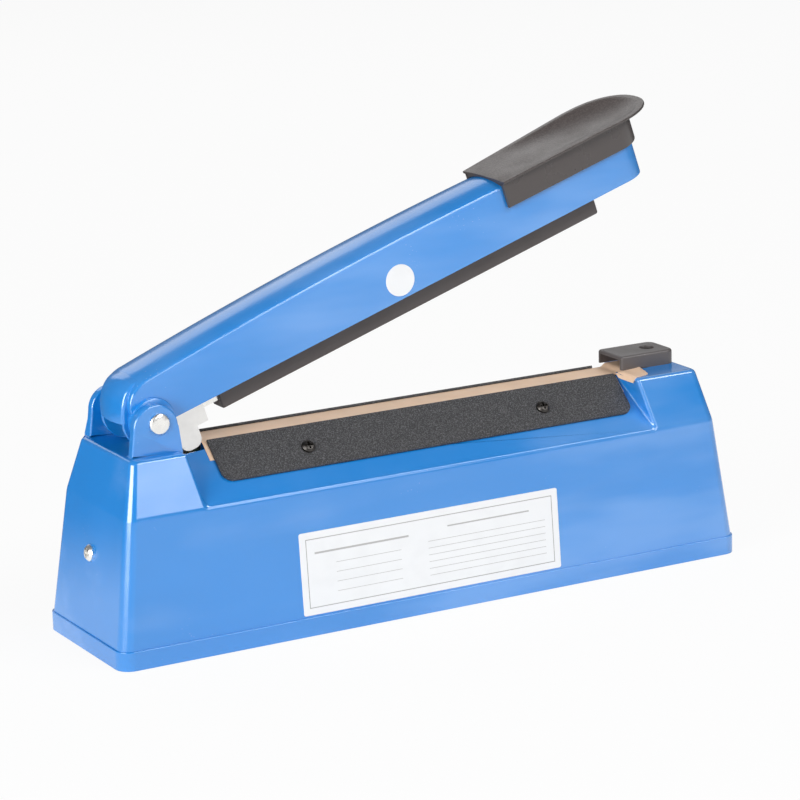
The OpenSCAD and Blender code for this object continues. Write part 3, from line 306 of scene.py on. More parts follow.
def label_prints(made):
    low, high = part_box("front_label")
    centre, half = (low + high) / 2 / MM, (high - low) / 2 / MM
    x, z = made.offset("X", centre.x), made.offset("Z", centre.z)

    def bar(x0, x1, z0, z1):
        """1 inside the bar, 0 outside."""
        near_x = made.math("COMPARE", x, (x0 + x1) / 2, (x1 - x0) / 2)
        near_z = made.math("COMPARE", z, (z0 + z1) / 2, (z1 - z0) / 2)
        return made.math("MULTIPLY", near_x, near_z)

    def rules(x0, x1, first, gap, count):
        return [bar(x0, x1, first + gap * i, first + gap * i + RULE_T) for i in range(count)]

    wide, tall = half.x - LABEL_INSET, half.z - LABEL_INSET
    outer = bar(-wide, wide, -tall, tall)
    inner = bar(-wide + LABEL_LINE, wide - LABEL_LINE, -tall + LABEL_LINE, tall - LABEL_LINE)
    made.tint(made.math("SUBTRACT", outer, inner), RULE_COLOUR)
    left, right = -wide + LABEL_MARGIN, wide - LABEL_MARGIN
    rows = rules(left + LEFT_SPAN[0], left + LEFT_SPAN[1], *LEFT_ROWS)
    rows += rules(RIGHT_START, right, *RIGHT_ROWS)
    rows.append(bar(left, left + LEFT_HEADING[0], *LEFT_HEADING[1:]))
    rows.append(bar(RIGHT_HEADING[0], right - RIGHT_HEADING[0], *RIGHT_HEADING[1:]))
    for row in rows:
        made.tint(made.math("MULTIPLY", row, RULE_STRENGTH), RULE_COLOUR)


# Timer dial: plain ticks round the knob, a longer one at every fifth. The pointer starts at the
# top and turns clockwise, and the ticks follow it.
DIAL_TICKS = 21
DIAL_SWEEP = math.radians(270)
DIAL_RING = (13.0, 15.4)
LONG_EVERY = 5
LONG_BY = 1.2
TICK_HALF = 0.22
TICK_COLOUR = (0.02, 0.02, 0.02)


def dial_prints(made):
    low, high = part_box("dial_plate")
    centre = (low + high) / 2 / MM
    x, z = made.offset("X", centre.x), made.offset("Z", centre.z)
    squares = made.math("ADD", made.math("MULTIPLY", x, x), made.math("MULTIPLY", z, z))
    radius = made.math("SQRT", squares)
    from_middle = made.math("ADD", made.math("ARCTAN2", x, z), DIAL_SWEEP / 2)
    turn = made.math("WRAP", from_middle, math.pi, -math.pi)
    step = DIAL_SWEEP / (DIAL_TICKS - 1)

    def ticks(gap, inner, outer):
        """1 on radial marks that are gap apart, between two radii."""
        off = made.math("PINGPONG", turn, gap / 2)
        near = made.math("LESS_THAN", made.math("MULTIPLY", off, radius), TICK_HALF)
        band = made.math("COMPARE", radius, (inner + outer) / 2, (outer - inner) / 2)
        swept = made.math("LESS_THAN", made.math("ABSOLUTE", turn), DIAL_SWEEP / 2 + step / 4)
        return made.math("MULTIPLY", made.math("MULTIPLY", near, band), swept)

    made.tint(ticks(step, *DIAL_RING), TICK_COLOUR)
    made.tint(ticks(step * LONG_EVERY, DIAL_RING[0], DIAL_RING[1] + LONG_BY), TICK_COLOUR)


# Timer knob: black, with its raised pointer painted
REAR_OUT = -Vector(joints["timer_turn"]["axis"])
PAINT_DEPTH = 0.3
PAINT_WHITE = (0.75, 0.75, 0.74)


def pointer_knob(name, look):
    made = moulded_plastic(name, *look)
    top = max(REAR_OUT.dot(v.co) for v in nodes["timer_knob"].data.vertices)
    height = made.dot(made.place, REAR_OUT)
    made.tint(made.math("GREATER_THAN", height, top - PAINT_DEPTH * MM), PAINT_WHITE)
    return made


# Plastics and the like: colour, roughness, grain scale and grain depth
PLASTICS = {
    "black_plastic": ((0.02, 0.02, 0.021), 0.4, 1800, 0.015),
    "bobbin_plastic": ((0.8, 0.77, 0.68), 0.5, 1200, 0.01),
    "lamp_red": ((0.7, 0.02, 0.015), 0.12, 700, 0.003),
    "lead_insulation": ((0.45, 0.03, 0.03), 0.45, 1400, 0.008),
    "press_rubber": ((0.09, 0.078, 0.076), 0.5, 2100, 0.02),
    "foot_rubber": ((0.02, 0.02, 0.02), 0.7, 1600, 0.03),
    "core_steel": ((0.1, 0.1, 0.11), 0.5, 1500, 0.02),
    "board_laminate": ((0.02, 0.16, 0.06), 0.35, 1500, 0.01)}
# Metals: colour, roughness and, where brushed, the stretch of the lines
METALS = {
    "zinc_steel": ((0.9, 0.89, 0.87), 0.36),
    "bright_steel": ((0.97, 0.96, 0.93), 0.28),
    "seal_aluminium": ((0.78, 0.78, 0.8), 0.32, (0.05, 1, 1)),
    "ribbon_alloy": ((0.6, 0.57, 0.53), 0.3, (0.05, 1, 1)),
    "electrode_brass": ((0.75, 0.55, 0.22), 0.3),
    "copper_winding": ((0.62, 0.3, 0.12), 0.3, (0.1, 1, 4)),
    "dark_screw": ((0.075, 0.07, 0.066), 0.36)}

blue = moulded_plastic("blue_plastic", (0.006, 0.215, 0.63), 0.17, 900, 0.003, IOR=2.0)
scuffed(blue, (0.55, 0.7, 0.92))
# Pale streaks of painted sheen, standing in for reflections on the blue
painted_sheen_streaks(blue, (0.3, 0.5, 0.86), amount=0.28)

# By material slot, and for the few pieces that have a surface of their own
SURFACES = {
    "blue_plastic": blue,
    "grip_plastic": grained_grip("grip_plastic", (0.062, 0.052, 0.05)),
    # The last colour is the painted highlight on the wrinkle crests
    "wrinkle_coat": wrinkle_coat("wrinkle_coat", (0.03, 0.03, 0.032), (0.17, 0.17, 0.182)),
    "coated_cloth": coated_cloth("coated_cloth", (0.93, 0.65, 0.45)),
    "label_film": label_film("label_film"),
    **{name: moulded_plastic(name, *look) for name, look in PLASTICS.items()},
    **{name: metal(name, *look) for name, look in METALS.items()}}
OWN_SURFACES = {
    "end_cap": moulded_plastic("cap_plastic", (0.098, 0.088, 0.088), 0.36, 1700, 0.012),
    "front_label": label_film("front_label_film", label_prints),
    "dial_plate": label_film("dial_film", dial_prints),
    "timer_knob": pointer_knob("knob_plastic", PLASTICS["black_plastic"])}


def surface_of(node):
    return OWN_SURFACES.get(node, SURFACES[slots[node]])


# Mesh helpers
MESH_WELD = 0.0005
SHADE_SMOOTH = 32.0
BEVEL_FROM = 35.0
# Where the middle point of a three-point rounding lies, as a share of its radius
ROUND_MIDDLE = 0.3


def placed(name, data):
    made = bpy.data.objects.new(name, data)
    bpy.context.scene.collection.objects.link(made)
    return made


def piece_from(name, points, faces, body, slot, replaces, to=None, smooth_angle=SHADE_SMOOTH):
    """Makes a piece from points in millimetres, welds it and sets its shading."""
    mesh = bpy.data.meshes.new(name)
    place = to or Matrix.Identity(4)
    mesh.from_pydata([place @ (Vector(p) * MM) for p in points], [], faces)
    made = placed(name, mesh)
    finish_mesh(mesh, smooth_angle)
    dress(made, body, SURFACES[slot], replaces)
    return made


def finish_mesh(mesh, smooth_angle):
    work = bmesh.new()
    work.from_mesh(mesh)
    bmesh.ops.remove_doubles(work, verts=work.verts, dist=MESH_WELD * MM)
    bmesh.ops.dissolve_degenerate(work, edges=work.edges, dist=MESH_WELD * MM)
    bmesh.ops.recalc_face_normals(work, faces=work.faces)
    for face in work.faces:
        face.smooth = True
    limit = math.radians(smooth_angle)
    for edge in work.edges:
        edge.smooth = len(edge.link_faces) == 2 and edge.calc_face_angle() < limit
    work.to_mesh(mesh)
    work.free()


def dress(made, body, surface, replaces):
    made.data.materials.clear()
    made.data.materials.append(surface.material)
    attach(made, body)
    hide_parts(*replaces)


def soften(made, width, segments=3):
    """Rounds the piece's sharp edges by a small radius."""
    bevel = made.modifiers.new("soft_edges", "BEVEL")
    bevel.limit_method = "ANGLE"
    bevel.angle_limit = math.radians(BEVEL_FROM)
    bevel.width = width * MM
    bevel.segments = segments
    bevel.harden_normals = True
    return bevel


def circle(radius, degrees):
    """Points on a circle about the origin, at the angles given in degrees."""
    return [(radius * math.cos(math.radians(a)), radius * math.sin(math.radians(a)))
            for a in degrees]


def loft(rings):
    """Quads between closed rings, with a face over each end."""
    count, last = len(rings[0]), len(rings) - 1
    points = [p for ring in rings for p in ring]
    faces = []
    for i in range(last):
        a, b = i * count, (i + 1) * count
        for k in range(count):
            n = (k + 1) % count
            faces.append((a + k, a + n, b + n, b + k))
    faces.append(tuple(range(count)))
    faces.append(tuple(last * count + k for k in reversed(range(count))))
    return points, faces


def grid(rows, columns, start=0, turned=False):
    """Quads over rows of points, which are numbered from start."""
    faces = []
    for i in range(rows - 1):
        for k in range(columns - 1):
            a = start + i * columns + k
            b = a + columns
            faces.append((a, b, b + 1, a + 1) if turned else (a, a + 1, b + 1, b))
    return faces


def joined(*parts):
    """Several (points, faces) as one."""
    points, faces = [], []
    for more_points, more_faces in parts:
        start = len(points)
        points += more_points
        faces += [tuple(start + k for k in face) for face in more_faces]
    return points, faces


def mirrored(half_ring):
    """A whole ring of (y, z) from its half on one side of the middle."""
    return half_ring + [(-y, z) for y, z in reversed(half_ring[1:-1])]


# Press arm: its solid's sizes, with the round end and the nose as the photograph shows them
ARM_L = 261.0
ARM_HALF = 14.0
ARM_LOW = 3.4
ARM_WALL = 2.0
ARM_END_R = 11.0
ARM_STEPS = 40
ARM_TAIL = (ARM_WALL - 0.01, 1.2, 0.6, 0.2, 0.0)
CREASE_TOP = 22.4
CREASE_MID = 150.0
CREASE_BOW = 0.000238
CREASE_FILLET = 1.5
FILLET_STEPS = 6
CROWN = 2.1
CROWN_STEPS = 8
PANEL_X = 5.0
PANEL_REACH = 12.7
PANEL_Z = 7.0
PANEL_BLEND = 6.0
NOSE_Z = -2.0
NOSE_SIZE = (12.2, 19.5)
NOSE_HALF = 11.4
NOSE_EDGE = 3.3
NOSE_LEG = 6.0
NOSE_CORNER = 1.2
NOSE_STEPS = 18
NOSE_BACK = (2.0, 6.0, 12.0)
NOSE_SINK = 0.12
NOSE_OVERLAP = 0.5
LOBE_R = 12.2
LOBE_IN = 4.0
LOBE_ARC = range(100, 251, 6)
LOBE_EDGE = 0.3
LOBE_SINK = 0.15
HUB_R = 10.0
HUB_OUT = 16.0
HUB_EDGE = 0.6
HUB_SIDES = 48
BOSS_R = 6.5
BOSS_OUT = 21.7


def bowed(x):
    """Height of the arm's long crease."""
    return CREASE_TOP - CREASE_BOW * (x - CREASE_MID) ** 2


def crease(x):
    """Height of the arm's side walls, falling in a round end at the hinge."""
    top = bowed(max(x, PANEL_X))
    if x >= PANEL_X:
        return top
    past = (PANEL_X - x) / PANEL_REACH
    return PANEL_Z + (top - PANEL_Z) * math.sqrt(max(0.0, 1 - past ** 2))


def dome(y):
    return CROWN * (1 - min(1.0, abs(y) / ARM_HALF) ** 2)


def end_half(x, half, radius, end):
    """Half width of a plan that ends in two round corners."""
    past = x - (end - radius)
    if past <= 0:
        return half
    return half - radius + math.sqrt(max(0.0, radius ** 2 - past ** 2))


def roof_profile(half, height, crown, foot):
    """Points (y, z) over one half of a section, from the middle to the foot of its side wall."""
    points = []
    rise = 2 * crown / half
    turn = math.pi / 2 - math.atan(rise)
    setback = CREASE_FILLET * math.tan(turn / 2)
    edge = half - setback / math.sqrt(1 + rise ** 2)
    for i in range(CROWN_STEPS + 1):
        y = edge * i / CROWN_STEPS
        points.append((y, height + crown * (1 - (y / half) ** 2)))
    for i in range(1, FILLET_STEPS + 1):
        a = math.atan(rise) + turn * i / FILLET_STEPS
        points.append((half - CREASE_FILLET + CREASE_FILLET * math.sin(a),
                       height - setback + CREASE_FILLET * math.cos(a)))
    points.append((half, foot))
    return points


def arm_ring(x):
    half = end_half(x, ARM_HALF, ARM_END_R, ARM_L)
    height = crease(x)
    outer = roof_profile(half, height, CROWN, -ARM_LOW)
    inner_half = end_half(x, ARM_HALF - ARM_WALL, ARM_END_R - ARM_WALL, ARM_L - ARM_WALL)
    inner_half = lerp(NOSE_HALF - NOSE_OVERLAP, inner_half,
                      smooth_step(PANEL_X, PANEL_X + PANEL_BLEND, x))
    in_end_wall = x > ARM_L - ARM_WALL
    inner = [(inner_half, -ARM_LOW)]
    for i in range(CROWN_STEPS, -1, -1):
        y = inner_half * i / CROWN_STEPS
        inner.append((y, -ARM_LOW if in_end_wall else height - ARM_WALL + dome(y)))
    return [(x, y, z) for y, z in mirrored(outer + inner)]


def arm_stations():
    front = [PANEL_X - PANEL_REACH * math.sin(math.radians(a)) for a in range(90, 0, -9)]
    straight = ARM_L - ARM_END_R
    body = [PANEL_X + (straight - PANEL_X) * i / ARM_STEPS for i in range(ARM_STEPS + 1)]
    corner = [straight + (ARM_END_R - ARM_WALL) * math.sin(math.radians(a))
              for a in range(15, 91, 15)]
    return front + body + corner + [ARM_L - before for before in ARM_TAIL]


def nose_ring(at, up):
    """A channel section of the nose: at is a point on its ridge, up points out of the arm."""
    crown = dome(0) - dome(NOSE_HALF)
    outer = roof_profile(NOSE_HALF, -crown, crown, -NOSE_LEG)
    inside = NOSE_HALF - ARM_WALL
    inner = [(inside, -NOSE_LEG), (inside, -ARM_WALL - NOSE_CORNER), (0, -ARM_WALL)]
    return [(at[0] + up[0] * z, y, at[1] + up[1] * z) for y, z in mirrored(outer + inner)]


def nose_rings():
    """Sections round the nose's front from its lower edge, and then back into the arm's roof."""
    wide, tall = NOSE_SIZE
    crown = dome(0) - dome(NOSE_HALF)
    first = math.asin((NOSE_EDGE - NOSE_Z) / tall)
    rings = []
    for i in range(NOSE_STEPS + 1):
        a = lerp(first, math.pi / 2, i / NOSE_STEPS)
        up = Vector((-math.cos(a) / wide, math.sin(a) / tall)).normalized()
        edge = Vector((-wide * math.cos(a), NOSE_Z + tall * math.sin(a)))
        rings.append(nose_ring(edge + up * crown, up))
    start = NOSE_Z + tall + crown
    for x in NOSE_BACK:
        top = bowed(x) + CROWN - NOSE_SINK
        rings.append(nose_ring((x, lerp(start, top, smooth_step(0, NOSE_BACK[1], x))), (0, 1)))
    return rings


def nose_lobe(side):
    """The nose's side wall, carried down round the hinge axis as a disc segment."""
    rim = circle(LOBE_R, LOBE_ARC)
    outline = rim + [(LOBE_IN * x / LOBE_R, LOBE_IN * z / LOBE_R) for x, z in reversed(rim)]
    low, high = NOSE_HALF - ARM_WALL + LOBE_SINK, NOSE_HALF - LOBE_SINK
    small = 1 - LOBE_EDGE / LOBE_R
    rows = ((low, small), (low + LOBE_EDGE, 1), (high - LOBE_EDGE, 1), (high, small))
    return loft([[(x * size, side * y, z * size) for x, z in outline] for y, size in rows])


def hub(side, steps):
    """A round hub on one side of the arm.

    Its steps are (distance from the middle, radius), each with a rounded rim.
    """
    rows = []
    start = NOSE_HALF - ARM_WALL + 2 * LOBE_SINK
    near = HUB_EDGE * ROUND_MIDDLE
    for out, radius in steps:
        rows += [(start, radius), (out - HUB_EDGE, radius), (out - near, radius - near),
                 (out, radius - HUB_EDGE)]
        start = out
    turns = [math.tau * k / HUB_SIDES for k in range(HUB_SIDES)]
    return loft([[(r * math.sin(a), side * y, r * math.cos(a)) for a in turns] for y, r in rows])


arm_parts = joined(loft([arm_ring(x) for x in arm_stations()]), loft(nose_rings()),
                   nose_lobe(-1), nose_lobe(1), hub(-1, [(HUB_OUT, HUB_R)]),
                   hub(1, [(HUB_OUT, HUB_R), (BOSS_OUT, BOSS_R)]))
piece_from("press_arm_moulding", *arm_parts, "arm", "blue_plastic", ["press_arm"], TO_ARM)


# Grip, as the photograph shows it: pairs run from its front to its tip
GRIP_START = 188.0
GRIP_TIP = 272.6
GRIP_ROUND = 22.0
GRIP_SQUARE = 2.2
GRIP_FLARE = (188.0, 246.0)
GRIP_HALF = (17.7, 21.2)
GRIP_RIM = (24.85, 26.7)
GRIP_LIP = 1.1
GRIP_LIP_BLEND = 1.5
GRIP_FRONT = 25.35
GRIP_DISH = 23.4
GRIP_BRIM = 0.86
GRIP_BOWL = 3.0
GRIP_DEEPEN = (196.0, 250.0)
GRIP_THIN = 0.9
GRIP_FIT = 0.25
SIDE_STEPS = 12
TIP_STEPS = 24
# Rows of the spoon, as shares of its half width; those of its edge also have a drop
SPOON_TOP = (0, 0.12, 0.25, 0.38, 0.5, 0.6, 0.68, 0.75, 0.81, 0.86, 0.9, 0.94)
SPOON_EDGE = ((0.975, 0), (0.99, 0.06), (0.998, 0.2), (1.0, 0.4), (1.0, 0.7), (0.994, 0.9),
              (0.975, 1.05), (0.95, GRIP_LIP))
SPOON_UNDER = (0.92, 0.89, 0.86, 0.83, 0.8, 0.77, 0.74, 0.71, 0.68, 0.65, 0.6, 0.4, 0.2, 0)
SKIRT_WALL = 1.8
SKIRT_LOW = 12.2
SKIRT_ROUND = 0.5
SKIRT_TUCK = 0.25
SKIRT_COVER = 0.7


def flare(ends, x):
    """A size of the grip that grows evenly from its front towards its tip."""
    along = (x - GRIP_FLARE[0]) / (GRIP_FLARE[1] - GRIP_FLARE[0])
    return lerp(*ends, max(0.0, min(1.0, along)))


def grip_plan(step, share):
    """Point on the grip's plan: step runs from one front corner round the tip to the other."""
    round_x = GRIP_TIP - GRIP_ROUND
    if step <= 1 or step >= 2:
        x = lerp(GRIP_START, round_x, min(step, 3 - step))
        return x, flare(GRIP_HALF, x) * (-share if step <= 1 else share)
    a = math.pi * (step - 1.5)
    power = 2 / GRIP_SQUARE
    return (round_x + GRIP_ROUND * share * math.cos(a) ** power,
            GRIP_HALF[1] * share * math.copysign(abs(math.sin(a)) ** power, a))


def grip_share(x, y):
    """How far out a point lies, from 0 on the grip's middle line to 1 on its edge."""
    past = max(0.0, x - GRIP_TIP + GRIP_ROUND) / GRIP_ROUND
    across = abs(y) / flare(GRIP_HALF, x)
    return (past ** GRIP_SQUARE + across ** GRIP_SQUARE) ** (1 / GRIP_SQUARE)


def grip_top(x, share):
    """Flat at the front, deepening to a thumb dish inside a brim that rises towards the tip."""
    middle = lerp(GRIP_FRONT, GRIP_DISH, smooth_step(*GRIP_DEEPEN, x))
    return lerp(middle, flare(GRIP_RIM, x), min(1.0, share / GRIP_BRIM) ** GRIP_BOWL)


def grip_under(x, y, share):
    """Underside: close over the arm's roof, and a thin lip outside it."""
    roof = crease(min(x, ARM_L)) + dome(min(abs(y), ARM_HALF)) + GRIP_FIT
    past_arm = max(abs(y) - end_half(x, ARM_HALF, ARM_END_R, ARM_L), x - ARM_L)
    lip = flare(GRIP_RIM, x) - GRIP_LIP
    return min(lerp(roof, lip, smooth_step(0, GRIP_LIP_BLEND, past_arm)),
               grip_top(x, share) - GRIP_THIN)


def grip_spoon():
    side = [i / SIDE_STEPS for i in range(SIDE_STEPS + 1)]
    steps = side + [1 + i / TIP_STEPS for i in range(1, TIP_STEPS)] + [2 + s for s in side]

    def row(share, height):
        return [(x, y, height(x, y)) for x, y in (grip_plan(s, share) for s in steps)]

    rows = [row(share, lambda x, y: grip_top(x, share)) for share in SPOON_TOP]
    rows += [row(share, lambda x, y: grip_top(x, 1.0) - drop) for share, drop in SPOON_EDGE]
    rows += [row(share, lambda x, y: grip_under(x, y, share)) for share in SPOON_UNDER]
    width = len(steps)
    faces = grid(len(rows), width)
    for k in (0, width - 1):
        faces.append(tuple(i * width + k for i in range(len(rows))))
    return [p for row in rows for p in row], faces


def skirt_plan(radius):
    """Points round the arm's end, at a radius about its two corners' centres."""
    centre_x, centre_y = ARM_L - ARM_END_R, ARM_HALF - ARM_END_R
    points = [(GRIP_START, -centre_y - radius)]
    for side, first in ((-1, -90), (1, 0)):
        points += [(centre_x + x, side * centre_y + y)
                   for x, y in circle(radius, range(first, first + 91, 10))]
    return points + [(GRIP_START, centre_y + radius)]


def grip_skirt():
    """A band round the arm's end, from under the lip down the arm's sides."""
    inner = ARM_END_R + GRIP_FIT
    outer = inner + SKIRT_WALL
    near = SKIRT_ROUND * ROUND_MIDDLE
    # Radius and height; None is the height of the band's top
    profile = [(outer, None), (outer, SKIRT_LOW + SKIRT_ROUND), (outer - near, SKIRT_LOW + near),
               (outer - SKIRT_ROUND, SKIRT_LOW), (inner, SKIRT_LOW), (inner, None)]

    def point(x, y, z):
        if z is None:
            z = min(flare(GRIP_RIM, x) - GRIP_LIP + SKIRT_TUCK,
                    grip_top(x, grip_share(x, y)) - SKIRT_COVER)
        return x, y, z

    bands = [[point(x, y, z) for x, y in skirt_plan(radius)] for radius, z in profile]
    return loft(list(zip(*bands)))


piece_from("grip_moulding", *joined(grip_spoon(), grip_skirt()), "arm", "grip_plastic",
           ["grip_cap"], TO_ARM)


# Return spring: wound as its solid is, with a round wire, its upper leg laid along the open arm
SPRING_WIRE = 0.7
SPRING_R = 5.2
SPRING_PITCH = 2.0
SPRING_COILS = 4
SPRING_STEP = 12.0
SPRING_SMOOTH = 40.0
WIRE_SIDES = 12
LEG_START = 222.0
UPPER_LEG = 24.0
UPPER_STEPS = 8
LOWER_STEPS = 4
LOWER_LEG_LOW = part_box("return_spring")[0].z / MM + SPRING_WIRE


def spring_path():
    """Points in millimetres about the hinge axis: lower leg, coils, upper leg."""
    turned = LEG_START - (90 + math.degrees(OPEN)) + 360 * SPRING_COILS
    half = SPRING_PITCH * turned / 360 / 2
    steps = round(turned / SPRING_STEP)
    coil = []
    for i in range(steps + 1):
        a = math.radians(LEG_START - turned * i / steps)
        coil.append(Vector((SPRING_R * math.cos(a), -half + 2 * half * i / steps,
                            SPRING_R * math.sin(a))))
    slope = math.radians(LEG_START - 270)
    down = Vector((math.cos(slope), 0, math.sin(slope)))
    reach = (coil[0].z + HINGE.z / MM - LOWER_LEG_LOW) / -down.z
    lower = [coil[0] + down * reach * i / LOWER_STEPS for i in range(LOWER_STEPS, 0, -1)]
    out = Vector((math.cos(OPEN), 0, math.sin(OPEN)))
    upper = [coil[-1] + out * UPPER_LEG * i / UPPER_STEPS for i in range(1, UPPER_STEPS + 1)]
    return lower + coil + upper, half


def wire(path):
    turns = [math.tau * k / WIRE_SIDES for k in range(WIRE_SIDES)]
    rings = []
    for i, p in enumerate(path):
        t = (path[min(i + 1, len(path) - 1)] - path[max(i - 1, 0)]).normalized()
        a = t.cross(Vector((0, 1, 0))).normalized()
        b = t.cross(a)
        rings.append([tuple(p + SPRING_WIRE * (math.cos(turn) * a + math.sin(turn) * b))
                      for turn in turns])
    return loft(rings)


spring_points, spring_half = spring_path()
wire_points, wire_faces = wire(spring_points)
spring_mesh = bpy.data.meshes.new("wound_return_spring")
spring_mesh.from_pydata([HINGE + Vector(p) * MM for p in wire_points], [], wire_faces)
finish_mesh(spring_mesh, SPRING_SMOOTH)
spring = placed("wound_return_spring", spring_mesh)
spring_mesh.materials.append(SURFACES["zinc_steel"].material)
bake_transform(spring)
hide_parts("return_spring")


# Body sizes, as in its solid; plans are half length, half width and corner radius
SKIRT_H = 8.3
KNEE_Z = 62.8
RIDGE_Z = 83.7
TOWER_Z = 85.8
SKIRT_PLAN = (155.0, 38.3, 6.7)
FOOT_PLAN = (154.2, 37.5, 5.9)
KNEE_PLAN = (146.9, 32.9, 4.9)
TOWER_PLAN = (141.0, 26.2, 3.4)
TOWER_EDGE = 108.5
RIDGE_HALF = 9.0
ROOF_SLOPE = math.atan2(RIDGE_Z - KNEE_Z, KNEE_PLAN[1] - RIDGE_HALF)

# Coated cloth over the bed
CLOTH_T = 0.25
CLOTH_SEAT = 0.05
CLOTH_FLAT = 8.0
CLOTH_DOWN = 9.0
CLOTH_Z = 84.15
CLOTH_LEFT = -100.0
CLOTH_FLANK_END = 108.0
CLOTH_TAIL_END = 121.0
CLOTH_CLIMB = (110.6, 114.0)
CLOTH_STEPS = 90
CLOTH_SMOOTH = 60.0
FLANK_STEPS = 6
FLAT_STEPS = 12
TAIL_STEPS = 13
RIPPLE = 0.035
RIPPLE_END = 100.0
# Flap: its reach at its ends, where it grows, closes and lifts, and how its tip hangs
FLAP_STEPS = 8
FLAP_REACH = (13.2, 15.8)
FLAP_GROW = (121.0, 110.0)
FLAP_CLOSE = (122.5, 117.0)
FLAP_LIFT = (112.0, 120.0)
FLAP_PUFF = 0.5
FLAP_PUFF_END = 1.3
FLAP_HANG = 1.7
FLAP_HANG_FROM = TOWER_EDGE + 0.9
FLAP_TURN = 0.16
FLAP_DROP = 0.3


def cloth_section():
    """Underside of the cloth as (y, z), from the front edge over the ridge to the rear edge."""
    def on_slope(down):
        return (-RIDGE_HALF - down * math.cos(ROOF_SLOPE) - CLOTH_SEAT * math.sin(ROOF_SLOPE),
                RIDGE_Z - down * math.sin(ROOF_SLOPE) + CLOTH_SEAT * math.cos(ROOF_SLOPE))

    flank = [on_slope(CLOTH_DOWN * i / FLANK_STEPS) for i in range(FLANK_STEPS, -1, -1)]
    flat = [(-CLOTH_FLAT + 2 * CLOTH_FLAT * i / FLAT_STEPS, CLOTH_Z)
            for i in range(FLAT_STEPS + 1)]
    return flank, flat, [(-y, z) for y, z in reversed(flank)]


def cloth_ripple(x, y):
    """Slight lift where the stretched cloth has been heated, in millimetres."""
    inside = 1 - min(1.0, abs(y) / CLOTH_FLAT) ** 2
    waves = math.sin(x / 7.3) + math.sin(x / 3.1 + y / 2.7) + math.sin(x / 17 - y / 4)
    return RIPPLE * inside * (3 + waves) * (1 - smooth_step(RIPPLE_END, CLOTH_FLANK_END, x))


def tail_lift(x):
    """The tail climbs over the electrode into the cap."""
    return (TOWER_Z + CLOTH_SEAT - CLOTH_Z) * smooth_step(*CLOTH_CLIMB, x)


def flap_point(x, u):
    """The loose flap, which lies on the tower's top and hangs past its inner edge.

    u runs from the tail's front edge to the flap's own edge.
    """
    reach = lerp(*FLAP_REACH, smooth_step(*FLAP_GROW, x)) * smooth_step(*FLAP_CLOSE, x)
    puff = FLAP_PUFF * math.sin(math.pi * min(1, FLAP_PUFF_END * u)) * smooth_step(*FLAP_LIFT, x)
    hang = max(0.0, FLAP_HANG_FROM - x) * FLAP_HANG * smooth_step(0, FLAP_DROP, u)
    lying = TOWER_Z + CLOTH_SEAT + puff - hang
    z = lerp(CLOTH_Z + tail_lift(x), lying, smooth_step(0, FLAP_TURN, u))
    return x, -CLOTH_FLAT - u * reach, z


def cloth_mesh():
    front, flat, rear = cloth_section()
    section = front + flat + rear
    length = CLOTH_FLANK_END - CLOTH_LEFT
    stations = [CLOTH_LEFT + length * i / CLOTH_STEPS for i in range(CLOTH_STEPS + 1)]
    tail = [lerp(CLOTH_FLANK_END, CLOTH_TAIL_END, i / TAIL_STEPS) for i in range(TAIL_STEPS + 1)]
    sheet = [(x, y, z + cloth_ripple(x, y)) for x in stations for y, z in section]
    end = [(x, y, z + tail_lift(x)) for x in tail for y, z in flat]
    flap = [flap_point(x, k / FLAP_STEPS) for x in tail for k in range(FLAP_STEPS + 1)]
    return joined((sheet, grid(len(stations), len(section), turned=True)),
                  (end, grid(len(tail), len(flat), turned=True)),
                  (flap, grid(len(tail), FLAP_STEPS + 1)))


cloth = piece_from("coated_cloth_sheet", *cloth_mesh(), "housing", "coated_cloth", ["ptfe_cloth"],
                   smooth_angle=CLOTH_SMOOTH)
thickness = cloth.modifiers.new("thickness", "SOLIDIFY")
thickness.thickness = CLOTH_T * MM
thickness.offset = 1


# Body shell: its solid's own faces, with every outside edge rounded as a moulding's are
LUG_BANDS = ((-20.5, -16.3), (22.0, 26.2))
LUG_REACH = (-138.4, -114.4)
LUG_SLACK = 0.1
PIN_BORE_R = 3.2
NEAR = 0.05
SKIN_DEPTH = 0.15
RIM_Z = 0.1
RIDGE_CLEAR = 1.0
# Radii of the edges, from the tower's top down; the saddle is the slope between the towers
SOFTEST = 1.7
LUG_SOFT = 0.9
LUG_FOOT_SOFT = 0.7
KNEE_FLAT_SOFT = 1.0
KNEE_SOFT = 1.5
SKIRT_SOFT = 0.35
SADDLE_SOFT = 1.5
# Turns, in degrees, from which an edge counts
EDGE_TURN = 4
LUG_TURN = 40
KNEE_TURN = 20
SADDLE_TURN = 30
# Copying a node's faces: welding, sliver width, flat joins, shading and rounding
WELD = 0.03
SLIVER = 0.002
FLAT_JOIN = 0.4
SHARP_SHADE = 30
ROUND_SEGMENTS = 5


def wall_plan(z):
    """Half length, half width and corner radius of the outer walls at a height."""
    if z <= SKIRT_H:
        return SKIRT_PLAN
    low, high, t = FOOT_PLAN, KNEE_PLAN, (z - SKIRT_H) / (KNEE_Z - SKIRT_H)
    if z > KNEE_Z:
        low, high, t = KNEE_PLAN, TOWER_PLAN, (z - KNEE_Z) / (TOWER_Z - KNEE_Z)
    return [lerp(a, b, t) for a, b in zip(low, high)]


def outside(p):
    """True if a point of the shell, in millimetres, lies on its outer skin."""
    half_l, half_w, corner = wall_plan(p.z)
    past_x, past_y = abs(p.x) - half_l + corner, abs(p.y) - half_w + corner
    in_corner = past_x > 0 and past_y > 0
    reach = math.hypot(past_x, past_y) if in_corner else max(past_x, past_y)
    roof = RIDGE_Z - max(0, abs(p.y) - RIDGE_HALF) * math.tan(ROOF_SLOPE)
    return reach > corner - SKIN_DEPTH or abs(p.z - roof) < NEAR or p.z > TOWER_Z - NEAR


